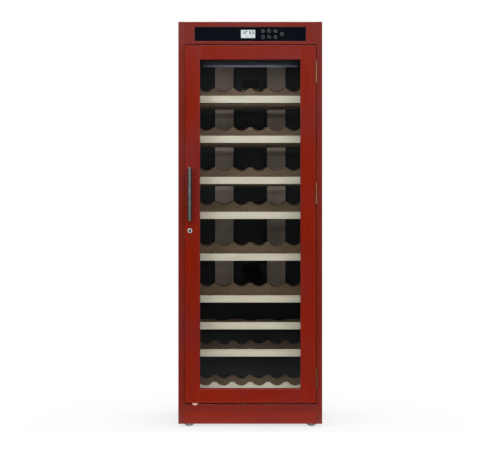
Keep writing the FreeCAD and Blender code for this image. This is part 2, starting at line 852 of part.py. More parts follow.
coil_z = (
    f"({fan_z} + sizes.fan_radius + sizes.coil_end_gap / 2)",
    f"({duct_z[1]} - sizes.coil_end_gap)",
)
coil_plate_y = (f"{liner_rear} - sizes.coil_plate", liner_rear)
coil_pieces = [box("coil_plate_board", both("sizes.coil_half_width"), coil_plate_y, coil_z)]
coil_pitch = f"((sizes.coil_half_width * 2 - sizes.coil_fin) / {COIL_FINS - 1})"
fin_y = (f"{liner_rear} - sizes.coil_depth", liner_rear)
for index in range(COIL_FINS):
    fin_left = f"(-sizes.coil_half_width + {index} * {coil_pitch})"
    fin_x = (fin_left, f"{fin_left} + sizes.coil_fin")
    coil_pieces.append(box(f"coil_fin_{index + 1}", fin_x, fin_y, coil_z))
keep(fuse("evaporator", coil_pieces))

motor_front = f"({liner_rear} - sizes.motor_depth)"
hub_back = f"({motor_front} - sizes.motor_gap)"
hub_front = f"({hub_back} - sizes.hub_depth)"
motor_start = ("0", motor_front, fan_z)
motor_drum = cylinder("motor_drum", "sizes.motor_radius", "sizes.motor_depth", motor_start, "y")
shaft_length = f"{liner_rear} - {hub_front}"
motor_shaft = cylinder("motor_shaft", "sizes.shaft_radius", shaft_length, ("0", hub_front, fan_z), "y")
keep(fuse("fan_motor", [motor_drum, motor_shaft]))

hub = cylinder("fan_hub", "sizes.hub_radius", "sizes.hub_depth", ("0", hub_front, fan_z), "y")
blade_turn = FreeCAD.Rotation(FreeCAD.Vector(0, 0, 1), BLADE_PITCH)
blade_corner = FreeCAD.Vector(-value_of("blade_thickness") / 2, -value_of("blade_width") / 2, 0)
blades = []
for index in range(FAN_BLADES):
    blade = document.addObject("Part::Box", f"fan_blade_{index + 1}")
    blade.setExpression("Length", "sizes.blade_thickness")
    blade.setExpression("Width", "sizes.blade_width")
    blade.setExpression("Height", "sizes.fan_radius")
    turn = FreeCAD.Rotation(FreeCAD.Vector(0, 1, 0), 360 * index / FAN_BLADES) * blade_turn
    shift = turn.multVec(blade_corner)
    blade.Placement = FreeCAD.Placement(FreeCAD.Vector(), turn)
    blade_middle = f"({hub_front} + sizes.hub_depth / 2)"
    place(blade, (f"({shift.x})", f"{blade_middle} + ({shift.y})", f"{fan_z} + ({shift.z})"))
    blades.append(blade)
fan_bore = cylinder(
    "fan_bore",
    "sizes.shaft_radius + sizes.turning_clearance",
    "sizes.hub_depth * 2",
    ("0", f"{hub_front} - sizes.hub_depth / 2", fan_z),
    "y",
)
keep(cut("circulation_fan", fuse("fan_rotor", [hub] + blades), [fan_bore]))

# Cooling machine in the bay at the bottom rear, condenser on the back
machine_middle = f"({rear} - sizes.machine_depth / 2)"
plate_bottom = f"({base_top} + sizes.mount_height)"
pot_bottom = f"({plate_bottom} + sizes.compressor_plate)"
pot = document.addObject("PartDesign::Body", "compressor_pot")
place(pot, ("sizes.compressor_offset", machine_middle, pot_bottom))
pot_sketch = sketch_on(pot, "compressor_outline", "XY_Plane")
sketch_circle(pot_sketch, "sizes.compressor_radius")
pot_pad = pad(pot, pot_sketch, "sizes.compressor_height", False)
round_all_edges(pot, pot_pad, "sizes.compressor_rounding")
saddle_x = centred("sizes.compressor_offset", "sizes.compressor_plate_width")
saddle_y = centred(machine_middle, "sizes.compressor_plate_depth")
saddle = box("compressor_saddle", saddle_x, saddle_y, (plate_bottom, pot_bottom))
keep(fuse("compressor", [pot, saddle]))
mount_columns = {
    "left": f"{saddle_x[0]} + sizes.mount_inset",
    "right": f"{saddle_x[1]} - sizes.mount_inset",
}
mount_rows = {
    "front": f"{saddle_y[0]} + sizes.mount_inset",
    "rear": f"{saddle_y[1]} - sizes.mount_inset",
}
mounts = []
for side, x in mount_columns.items():
    for end, y in mount_rows.items():
        name = f"mount_{side}_{end}"
        mounts.append(cylinder(name, "sizes.mount_radius", "sizes.mount_height", (x, y, base_top), "z"))
keep(group("compressor_mounts", mounts))

tray_bottom = f"({pot_bottom} + sizes.compressor_height)"
tray_x = centred("sizes.compressor_offset", "sizes.tray_length")
tray_y = centred(machine_middle, "sizes.tray_width")
tray_z = (tray_bottom, f"{tray_bottom} + sizes.tray_height")
tray_block = box("tray_block", tray_x, tray_y, tray_z)
tray_space = box(
    "tray_space",
    (f"{tray_x[0]} + sizes.tray_sheet", f"{tray_x[1]} - sizes.tray_sheet"),
    (f"{tray_y[0]} + sizes.tray_sheet", f"{tray_y[1]} - sizes.tray_sheet"),
    (f"{tray_bottom} + sizes.tray_sheet", tray_z[1]),
)
keep(cut("drip_tray", tray_block, [tray_space]))

inlet_middle = f"({case_half} - sizes.inlet_offset)"
inlet_x = centred(inlet_middle, "sizes.inlet_width")
inlet_y = (f"{rear} - sizes.inlet_depth", rear)
inlet_z = (base_top, f"{base_top} + sizes.inlet_height")
inlet_block = box("inlet_block", inlet_x, inlet_y, inlet_z)
inlet_back = f"{rear} - sizes.inlet_recess"
inlet_space = box(
    "inlet_space",
    (f"{inlet_x[0]} + sizes.inlet_wall", f"{inlet_x[1]} - sizes.inlet_wall"),
    (inlet_back, rear),
    (f"{inlet_z[0]} + sizes.inlet_wall", f"{inlet_z[1]} - sizes.inlet_wall"),
)
inlet_pieces = [cut("inlet_shell", inlet_block, [inlet_space])]
for index in (-1, 0, 1):
    inlet_pieces.append(
        box(
            f"inlet_pin_{index + 2}",
            centred(f"({inlet_middle} + {index} * sizes.inlet_pin_pitch)", "sizes.inlet_pin_width"),
            (inlet_back, f"{rear} - sizes.inlet_wall"),
            centred(f"({base_top} + sizes.inlet_height / 2)", "sizes.inlet_pin_height"),
        )
    )
keep(group("power_inlet", inlet_pieces))


def tube_path():
    """The condenser line: a tail, runs joined by half turns, and a second tail on the same side."""
    half_run = value_of("tube_half_run")
    pitch = value_of("tube_pitch")
    bend = pitch / 2
    y = number_from(f"{back_rear} + sizes.tube_standoff")
    low = number_from(f"{bay_back_bottom} + sizes.tube_start")
    edges = []

    def line(x0, z0, x1, z1):
        edges.append(Part.makeLine(FreeCAD.Vector(x0, y, z0), FreeCAD.Vector(x1, y, z1)))

    def arc(start, middle, end):
        points = [FreeCAD.Vector(x, y, z) for x, z in (start, middle, end)]
        edges.append(Part.Arc(*points).toShape())

    short = bend * math.sqrt(0.5)
    corner_x = -half_run - bend
    line(corner_x, low - bend - value_of("tube_tail"), corner_x, low - bend)
    arc((corner_x, low - bend), (-half_run - short, low - bend + short), (-half_run, low))
    for index in range(TUBE_RUNS):
        z = low + index * pitch
        side = 1 if index % 2 == 0 else -1
        line(-side * half_run, z, side * half_run, z)
        if index < TUBE_RUNS - 1:
            bulge = (side * (half_run + bend), z + bend)
            arc((side * half_run, z), bulge, (side * half_run, z + pitch))
    return Part.Wire(edges)


tube_wire = tube_path()
tube_start = tube_wire.Edges[0].Vertexes[0].Point
tube_ring = Part.Wire(Part.makeCircle(value_of("tube_radius"), tube_start, FreeCAD.Vector(0, 0, 1)))
tube = document.addObject("Part::Feature", "condenser_tube")
tube.Shape = tube_wire.makePipeShell([tube_ring], True, False)
tube_y = f"({back_rear} + sizes.tube_standoff)"
run_low = f"({bay_back_bottom} + sizes.tube_start)"
run_high = f"({run_low} + {TUBE_RUNS - 1} * sizes.tube_pitch)"
wire_y = f"{tube_y} + sizes.tube_radius + sizes.wire_radius"
wire_count = int(2 * value_of("tube_half_run") / value_of("wire_pitch"))
wires = []
for index, x in enumerate(even_spots(wire_count, "sizes.wire_pitch"), start=1):
    start = (x, wire_y, f"{run_low} - sizes.wire_overhang")
    length = f"{run_high} - {run_low} + 2 * sizes.wire_overhang"
    wires.append(cylinder(f"condenser_wire_{index}", "sizes.wire_radius", length, start, "z"))
keep(group("condenser", [tube] + wires))

clips = []
for end, z in (("low", run_low), ("high", run_high)):
    for side, x in (("left", "-sizes.clip_offset"), ("right", "sizes.clip_offset")):
        name = f"clip_{side}_{end}"
        block = box(
            f"{name}_block",
            centred(x, "sizes.clip_width"),
            (back_rear, f"{tube_y} + sizes.tube_radius"),
            centred(z, "sizes.clip_height"),
        )
        bore = cylinder(
            f"{name}_bore",
            "sizes.tube_radius + sizes.tube_fit",
            "sizes.clip_width * 2",
            (f"{x} - sizes.clip_width", tube_y, z),
            "x",
        )
        clips.append(cut(name, block, [bore]))
keep(group("condenser_clips", clips))

# Control panel: black glass, display in its window, circuit housing behind it
display_x = centred("-sizes.display_offset", "sizes.display_width")
display_z = centred(panel_middle, "sizes.display_height")
glass_y = (front, f"{front} + sizes.panel_thickness")
display_back = f"({glass_y[1]} + sizes.display_back)"
control_sheet = box("control_sheet", both(panel_half), glass_y, (panel_bottom, panel_top))
display_window = box("display_window", display_x, glass_y, display_z)
keep(cut("control_glass", control_sheet, [display_window]))
keep(box("display_screen", display_x, (f"{front} + sizes.display_sink", display_back), display_z))
keep(
    box(
        "control_board",
        both("sizes.control_board_half"),
        (display_back, f"{display_back} + sizes.control_board_depth"),
        (f"{window_z[0]} + sizes.control_board_gap", f"{window_z[1]} - sizes.control_board_gap"),
    )
)

# Door frame: rails tenoned into the stiles, a stopped rebate for the glass
rebate_front = f"({door_back} - sizes.rebate_depth)"
rebate_y = (rebate_front, door_back)
glass_half = f"({sight_half} + sizes.rebate_width)"
glass_z = (f"({sight_bottom} - sizes.rebate_width)", f"({sight_top} + sizes.rebate_width)")
tenon_y = centred(f"({front} + sizes.door_thickness / 2)", "sizes.tenon_thickness")
tenon_end = f"({sight_half} + sizes.tenon_length)"
rail_spans = {"top": (sight_top, door_top), "bottom": (door_bottom, sight_bottom)}


def tenons(name, span, sign):
    z = (f"{span[0]} + sizes.tenon_margin", f"{span[1]} - sizes.tenon_margin")
    x = (sight_half, tenon_end) if sign > 0 else (f"-{tenon_end}", f"-{sight_half}")
    return box(name, x, tenon_y, z)


def door_stile(side, sign, extra_cuts):
    x = (sight_half, door_half) if sign > 0 else (f"-{door_half}", f"-{sight_half}")
    rebate_x = (sight_half, glass_half) if sign > 0 else (f"-{glass_half}", f"-{sight_half}")
    board = box(f"stile_board_{side}", x, (front, door_back), (door_bottom, door_top))
    tools = [box(f"stile_rebate_{side}", rebate_x, rebate_y, glass_z)]
    tools += [tenons(f"mortise_{end}_{side}", span, sign) for end, span in rail_spans.items()]
    return cut(f"door_stile_{side}", board, tools + extra_cuts)


def door_rail(end, rebate_z):
    span = rail_spans[end]
    board = box(f"rail_board_{end}", both(sight_half), (front, door_back), span)
    left_tongue = tenons(f"tenon_{end}_left", span, -1)
    right_tongue = tenons(f"tenon_{end}_right", span, 1)
    whole = fuse(f"rail_whole_{end}", [board, left_tongue, right_tongue])
    return cut(f"door_rail_{end}", whole, [box(f"rail_rebate_{end}", both(sight_half), rebate_y, rebate_z)])


lock_bore = cylinder(
    "lock_bore",
    "sizes.lock_body_radius + sizes.turning_clearance",
    "sizes.lock_body_depth + sizes.cam_clearance",
    (lock_x, front, lock_z),
    "y",
)
cam_room_x = (f"-{door_half}", f"{lock_x} + sizes.lock_body_radius + sizes.cam_clearance")
cam_room_z = (
    f"{lock_z} - {cam_reach} - sizes.cam_clearance",
    f"{lock_z} + sizes.lock_body_radius + sizes.cam_clearance",
)
cam_room = box("cam_room", cam_room_x, cam_y, cam_room_z)
plug_tail_room = cylinder(
    "plug_tail_room",
    "sizes.plug_radius + sizes.cam_clearance",
    "sizes.plug_tail + sizes.cam_clearance",
    (lock_x, f"{front} + sizes.lock_body_depth", lock_z),
    "y",
)
keep(door_stile("left", -1, [lock_bore, cam_room, plug_tail_room]))
door_holes = screw_holes(
    "door_hole",
    "sizes.screw_radius + sizes.screw_fit",
    "sizes.screw_length",
    f"{door_half} - sizes.screw_length",
)
keep(door_stile("right", 1, door_holes))
keep(door_rail("top", (sight_top, glass_z[1])))
keep(door_rail("bottom", (glass_z[0], sight_bottom)))

pane_1 = (rebate_front, f"({rebate_front} + sizes.pane_thickness)")
pane_2_front = f"({pane_1[1]} + sizes.pane_gap)"
pane_2 = (pane_2_front, f"({pane_2_front} + sizes.pane_thickness)")
panes = [
    box("pane_outer", both(glass_half), pane_1, glass_z),
    box("pane_inner", both(glass_half), pane_2, glass_z),
]
keep(group("glass_panes", panes))


def frame_piece(name, half, y, z, side, end):
    """A rectangular ring with its own side and end widths."""
    outside = box(f"{name}_outside", both(half), y, z)
    inside = box(f"{name}_inside", both(f"({half} - {side})"), y, (f"{z[0]} + {end}", f"{z[1]} - {end}"))
    return cut(name, outside, [inside])


spacer = "sizes.spacer_width"
keep(frame_piece("glass_spacer", glass_half, (pane_1[1], pane_2_front), glass_z, spacer, spacer))

bead_y = (pane_2[1], door_back)
bead_pieces = mirrored_boxes("bead", (sight_half, glass_half), bead_y, glass_z)
bead_pieces.append(box("bead_top", both(sight_half), bead_y, (sight_top, glass_z[1])))
bead_pieces.append(box("bead_bottom", both(sight_half), bead_y, (glass_z[0], sight_bottom)))
keep(group("glazing_beads", bead_pieces))

gasket_half = f"({door_half} - sizes.gasket_side_inset)"
gasket_y = (door_back, f"{liner_front} - sizes.seal_clearance")
gasket_z = (f"{door_bottom} + sizes.gasket_end_inset", f"{door_top} - sizes.gasket_end_inset")
gasket = "sizes.gasket_width"
keep(frame_piece("door_gasket", gasket_half, gasket_y, gasket_z, gasket, gasket))

# Handle and lock
handle_z = f"({door_bottom} + sizes.handle_centre)"
bar_back = f"({front} - sizes.handle_standoff)"
bar_front = f"({bar_back} - sizes.handle_bar_depth)"
grip = document.addObject("PartDesign::Body", "handle_grip")
place(grip, (lock_x, bar_back, handle_z))
grip_sketch = sketch_on(grip, "handle_outline", "XZ_Plane")
sketch_rectangle(grip_sketch, both("sizes.handle_width / 2"), both("sizes.handle_length / 2"))
grip_pad = pad(grip, grip_sketch, "sizes.handle_bar_depth", False)
round_all_edges(grip, grip_pad, "sizes.handle_rounding")
inlay_z = centred(handle_z, "(sizes.handle_length + 2 * sizes.inlay_overhang)")
inlay_y = (f"{bar_front} - sizes.inlay_depth", bar_front)
keep(box("handle_inlay", centred(lock_x, "sizes.inlay_width"), inlay_y, inlay_z))
post_reach = "(sizes.handle_length / 2 - sizes.post_inset)"
posts = [
    cylinder(
        f"handle_post_{end}",
        "sizes.post_radius",
        "sizes.handle_standoff",
        (lock_x, bar_back, f"{handle_z} {sign} {post_reach}"),
        "y",
    )
    for end, sign in (("low", "-"), ("high", "+"))
]
keep(group("handle_bar", [grip] + posts))

rim_front = f"({front} - sizes.lock_rim_depth)"
rim_start = (lock_x, rim_front, lock_z)
barrel_start = (lock_x, front, lock_z)
lock_rim = cylinder("lock_rim", "sizes.lock_rim_radius", "sizes.lock_rim_depth", rim_start, "y")
lock_barrel = cylinder("lock_barrel", "sizes.lock_body_radius", "sizes.lock_body_depth", barrel_start, "y")
lock_core = cylinder(
    "lock_core",
    "sizes.plug_radius + sizes.turning_clearance",
    "sizes.lock_rim_depth + sizes.lock_body_depth",
    rim_start,
    "y",
)
keep(cut("lock_housing", fuse("lock_case", [lock_rim, lock_barrel]), [lock_core]))

lock_plug = document.addObject("PartDesign::Body", "lock_plug")
place(lock_plug, (lock_x, f"{rim_front} - sizes.plug_front", lock_z))
plug_sketch = sketch_on(lock_plug, "plug_outline", "XZ_Plane")
sketch_circle(plug_sketch, "sizes.plug_radius")
plug_length = "sizes.plug_front + sizes.lock_rim_depth + sizes.lock_body_depth + sizes.plug_tail"
pad(lock_plug, plug_sketch, plug_length, True)
key_sketch = sketch_on(lock_plug, "key_slot", "XZ_Plane")
sketch_rectangle(key_sketch, both("sizes.key_slot_width / 2"), both("sizes.key_slot_height / 2"))
pocket(lock_plug, key_sketch, "sizes.key_slot_depth")
keep(lock_plug)

cam_z = (f"{lock_z} - {cam_reach}", lock_z)
cam_bar = box("cam_bar", centred(lock_x, "sizes.cam_width"), (cam_front, cam_back), cam_z)
cam_start = (lock_x, cam_front, lock_z)
cam_eye = cylinder("cam_eye", "sizes.lock_body_radius", "sizes.cam_thickness", cam_start, "y")
cam_hole = cylinder("cam_hole", "sizes.plug_radius + sizes.pin_fit", "sizes.cam_thickness", cam_start, "y")
keep(cut("lock_cam", fuse("cam_blank", [cam_bar, cam_eye]), [cam_hole]))

# Butt hinges: folded leaves with rolled knuckles, one pin each, flush screws
axis_x = f"({case_half} - sizes.door_side_gap / 2)"
axis_y = f"({front} - sizes.knuckle_radius - sizes.knuckle_standoff)"
knuckle_length = "(sizes.hinge_height / 3 - sizes.knuckle_gap)"
frame_leaf_x = (f"{axis_x} + sizes.leaf_clearance", case_half)
door_leaf_x = (door_half, f"{axis_x} - sizes.leaf_clearance")
leaf_y = (front, f"{front} + sizes.leaf_width")
leaf_thickness = "(sizes.door_side_gap / 2 - sizes.leaf_clearance)"


def hinge_leaf(name, centre, leaf_x, knuckle_starts, bore_fit, label):
    """A leaf in the door gap with its knuckles round the pin and its screw holes."""
    leaf_z = centred(centre, "sizes.hinge_height")
    pieces = [box(f"{name}_plate", leaf_x, leaf_y, leaf_z)]
    for index, start in enumerate(knuckle_starts, start=1):
        tab_z = (start, f"{start} + {knuckle_length}")
        pieces.append(box(f"{name}_tab_{index}", leaf_x, (axis_y, front), tab_z))
        roll_start = (axis_x, axis_y, start)
        pieces.append(
            cylinder(f"{name}_roll_{index}", "sizes.knuckle_radius", knuckle_length, roll_start, "z")
        )
    tools = [
        cylinder(
            f"{name}_bore",
            f"sizes.pin_radius + sizes.{bore_fit}",
            "sizes.hinge_height",
            (axis_x, axis_y, leaf_z[0]),
            "z",
        )
    ]
    for hole, back, height in hinge_screw_spots(label):
        if hole.startswith(f"{label}_{name[-1]}_"):
            tools.append(
                cylinder(
                    f"{hole}_head",
                    "sizes.screw_head_radius + sizes.screw_fit",
                    leaf_thickness,
                    (leaf_x[0], back, height),
                    "x",
                )
            )
    return cut(name, fuse(f"{name}_blank", pieces), tools)


frame_leaves = []
door_leaves = []
pins = []
for index, centre in enumerate(hinge_centres, start=1):
    low = f"({centre} - sizes.hinge_height / 2)"
    high = f"({centre} + sizes.hinge_height / 2 - {knuckle_length})"
    middle = f"({centre} - {knuckle_length} / 2)"
    frame_leaves.append(
        hinge_leaf(f"frame_leaf_{index}", centre, frame_leaf_x, (low, high), "pin_fit", "case_screw")
    )
    door_leaves.append(
        hinge_leaf(f"door_leaf_{index}", centre, door_leaf_x, (middle,), "turning_clearance", "door_screw")
    )
    pin_start = (axis_x, axis_y, f"{low} - sizes.pin_tip")
    pin_length = "sizes.hinge_height + 2 * sizes.pin_tip"
    pins.append(cylinder(f"pin_{index}", "sizes.pin_radius", pin_length, pin_start, "z"))
keep(group("hinge_frame_leaves", frame_leaves))
keep(group("hinge_door_leaves", door_leaves))
keep(group("hinge_pins", pins))


def hinge_screws(label, head_start, shank_start):
    screws = []
    for name, back, height in hinge_screw_spots(label):
        head = cylinder(
            f"{name}_cap", "sizes.screw_head_radius", leaf_thickness, (head_start, back, height), "x"
        )
        shank = cylinder(
            f"{name}_shank", "sizes.screw_radius", "sizes.screw_length", (shank_start, back, height), "x"
        )
        screws.append(fuse(name, [head, shank]))
    return screws


keep(group("case_screws", hinge_screws("case_screw", frame_leaf_x[0], case_half)))
keep(group("door_screws", hinge_screws("door_screw", door_half, f"{door_half} - sizes.screw_length")))

# Check every object, then write one file per sub-part
document.recompute()
for item in document.Objects:
    if "Invalid" in item.State or "Error" in item.State:
        raise RuntimeError(f"{item.Name} did not build: {item.State}")
os.makedirs("parts", exist_ok=True)
for piece in sub_parts:
    shape = piece.Shape
    if shape.isNull() or not shape.isValid() or not shape.Solids:
        raise RuntimeError(f"{piece.Label} has no valid solid")
    shape.exportStep(f"parts/{piece.Label}.step")
    print(piece.Label, len(shape.Solids), round(shape.Volume))
print(len(sub_parts), "sub-parts written")
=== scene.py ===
# %% [markdown]
# # Dressing a wine cabinet
# The solids of this cabinet come from a CAD model: sixty named nodes that sit on moving bodies,
# such as the door and the shelves. This lesson keeps those solids as they are and gives them what
# a CAD model lacks: softened edges, real finishes, light and a camera. The frame is in metres,
# with Z up and the door facing -Y, so every size below can be read off the real cabinet.

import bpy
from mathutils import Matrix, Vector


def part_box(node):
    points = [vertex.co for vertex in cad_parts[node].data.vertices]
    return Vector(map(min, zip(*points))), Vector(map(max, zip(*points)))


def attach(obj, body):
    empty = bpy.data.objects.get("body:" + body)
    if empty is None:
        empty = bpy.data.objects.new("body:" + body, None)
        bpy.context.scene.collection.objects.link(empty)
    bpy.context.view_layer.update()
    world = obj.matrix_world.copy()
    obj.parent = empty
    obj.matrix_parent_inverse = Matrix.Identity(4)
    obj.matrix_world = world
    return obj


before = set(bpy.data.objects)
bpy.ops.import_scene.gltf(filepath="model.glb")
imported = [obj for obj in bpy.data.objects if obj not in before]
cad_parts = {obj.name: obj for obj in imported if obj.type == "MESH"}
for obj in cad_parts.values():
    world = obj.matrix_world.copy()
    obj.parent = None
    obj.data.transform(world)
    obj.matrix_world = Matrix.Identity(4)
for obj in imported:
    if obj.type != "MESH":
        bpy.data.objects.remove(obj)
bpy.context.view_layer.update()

# %% Modules for the making
import math

import bmesh
import bpy

MM = 0.001
scene = bpy.context.scene

# %% [markdown]
# ## Softened edges
# A board that is planed, sanded and lacquered never keeps a knife edge: the sandpaper breaks it by
# about a millimetre, and that small curve is what catches the light. It could be modelled into
# every solid, but then the CAD would be heavy. Here modifiers do it: the first joins the seams
# that the file format leaves between faces, the second turns triangles back into flat faces, the
# third rounds the edges, and the last two spread the shading evenly. The solid itself isn't touched.

# %% [markdown]
# Materials, the room and one modifier are all built of nodes, so one small function adds them. An
# input goes by its name, or by its number where a node has several of one name. A Map Range takes
# its value at 0, the range it reads at 1 and 2, and the range it gives at 3 and 4. A colour Mix
# takes its share at 0 and its two colours at 6 and 7, and gives the mixed colour as output 2.

# %% One function that adds a node
def add(tree, kind, sockets=None, **settings):
    """Adds a node: settings are its own properties, sockets are its inputs as values or links."""
    node = tree.nodes.new(kind)
    for name, value in settings.items():
        setattr(node, name, value)
    for name, value in (sockets or {}).items():
        if isinstance(value, bpy.types.NodeSocket):
            tree.links.new(value, node.inputs[name])
        else:
            node.inputs[name].default_value = value
    return node


# %% Smooth shading as a small node group
smooth_tree = bpy.data.node_groups.new("smooth_faces", "GeometryNodeTree")
smooth_tree.interface.new_socket("Geometry", in_out="INPUT", socket_type="NodeSocketGeometry")
smooth_tree.interface.new_socket("Geometry", in_out="OUTPUT", socket_type="NodeSocketGeometry")
incoming = add(smooth_tree, "NodeGroupInput").outputs[0]
smoothed = add(smooth_tree, "GeometryNodeSetShadeSmooth", {"Geometry": incoming}).outputs[0]
add(smooth_tree, "NodeGroupOutput", {0: smoothed})
print("smooth shading group:", len(smooth_tree.nodes), "nodes")


# %% Soften the crisp edges
SEAM = 0.02 * MM
FLAT_WITHIN = math.radians(0.4)
EDGE_FROM = math.radians(35)
LARGE_FACES = 80


def soften(node, width, steps=2):
    """Rounds the edges of a CAD node by width in millimetres, through modifiers alone."""
    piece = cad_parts[node]
    seams = piece.modifiers.new("joined_seams", "WELD")
    seams.merge_threshold = SEAM
    faces = piece.modifiers.new("flat_faces", "DECIMATE")
    faces.decimate_type = "DISSOLVE"
    faces.angle_limit = FLAT_WITHIN
    edges = piece.modifiers.new("soft_edges", "BEVEL")
    edges.width = width * MM
    edges.segments = steps
    edges.limit_method = "ANGLE"
    edges.angle_limit = EDGE_FROM
    edges.use_clamp_overlap = True
    shading = piece.modifiers.new("smooth_faces", "NODES")
    shading.node_group = smooth_tree
    even = piece.modifiers.new("even_shading", "WEIGHTED_NORMAL")
    even.weight = LARGE_FACES


SHELVES = [f"shelf_{number}" for number in range(1, 9)]
CASE_BOARDS = ["left_side_panel", "right_side_panel", "top_panel", "control_rail", "base_rail", "plinth"]
DOOR_BOARDS = ["door_stile_left", "door_stile_right", "door_rail_top", "door_rail_bottom"]
softened = {
    1.6: CASE_BOARDS + DOOR_BOARDS,
    1.2: SHELVES + ["bottom_rack", "back_uprights", "lamp_housing", "air_duct"],
    0.8: ["glazing_beads", "back_panel", "base_panel", "drip_tray", "handle_bar", "door_glide"],
    0.5: ["control_glass", "lock_housing", "lock_plug", "power_inlet", "lamp_diffuser"],
}
for width, nodes in softened.items():
    for node in nodes:
        soften(node, width)
print("softened nodes:", sum(len(nodes) for nodes in softened.values()))

# %% [markdown]
# ## Colours and patterns
# Colours are written as they would be picked from a picture, in sRGB hex, but a shader counts in
# linear light, so one function changes them. Patterns are given in millimetres of the real thing.
# Every node's mesh holds its place in metres, so its object coordinates are metres too, and a
# pattern of a given size needs a texture scale of one over that size.

# %% Colour and scale helpers
def linear(colour):
    """Linear RGBA for an sRGB hex colour."""
    parts = [int(colour[start:start + 2], 16) / 255 for start in (1, 3, 5)]
    return tuple(c / 12.92 if c <= 0.04045 else ((c + 0.055) / 1.055) ** 2.4 for c in parts) + (1.0,)


def scale_for(size):
    """Texture scale that makes one mark of a pattern about size millimetres wide."""
    return 1 / (size * MM)


def new_finish(name):
    """An empty node material, ready for its pattern and its shader."""
    material = bpy.data.materials.new(name)
    material.use_nodes = True
    material.node_tree.nodes.clear()
    return material, material.node_tree


dressed = {}


def dress(material, *nodes):
    """Gives CAD nodes a finish through their object's slots, which leaves the mesh as it is."""
    for node in nodes:
        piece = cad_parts[node]
        for place in piece.material_slots:
            place.link = "OBJECT"
            place.material = material
        dressed[node] = material.name


print("a mid grey in linear light:", [round(c, 3) for c in linear("#808080")])

# %% [markdown]
# ## Lacquered mahogany
# The case and the door frame are mahogany veneer, stained red and sprayed with several coats of
# clear lacquer that were rubbed down between coats. The eye sees a deep red with slow clouds of
# orange and plum, ribbons along the grain, short dark pores, and a clear gloss over it all. The
# pattern could be a picture of wood; noise stretched along the grain repeats nowhere and turns
# with each board: upright on stiles and sides, level on rails. Real pores are about 0.2 mm wide,
# which is too fine to show here, so they are drawn at 1.4 mm. At the edges, rubbing down thins the
# stain, and the lighter pink there is also a painted highlight for the glint of a softened edge;
# a bevel node finds those edges by comparing a rounded normal with the true one. Faces that look
# up stand above eye level and get a single coat that isn't rubbed, so they are satin.

# %% Make the mahogany finish
CLOUD = 150
RIBBON = 16
PORE = 1.4
GRAIN_STRETCH = 0.05
CLOUD_STRETCH = 0.45
SATIN_ROUGHNESS = 0.56
# Edges get a lighter pink, partly rubbed-through stain and partly a painted highlight.
WORN_AND_HIGHLIGHT_RADIUS = 2.0
WORN_EDGE_AND_HIGHLIGHT = "#B0605A"
EDGE_SAMPLES = 4


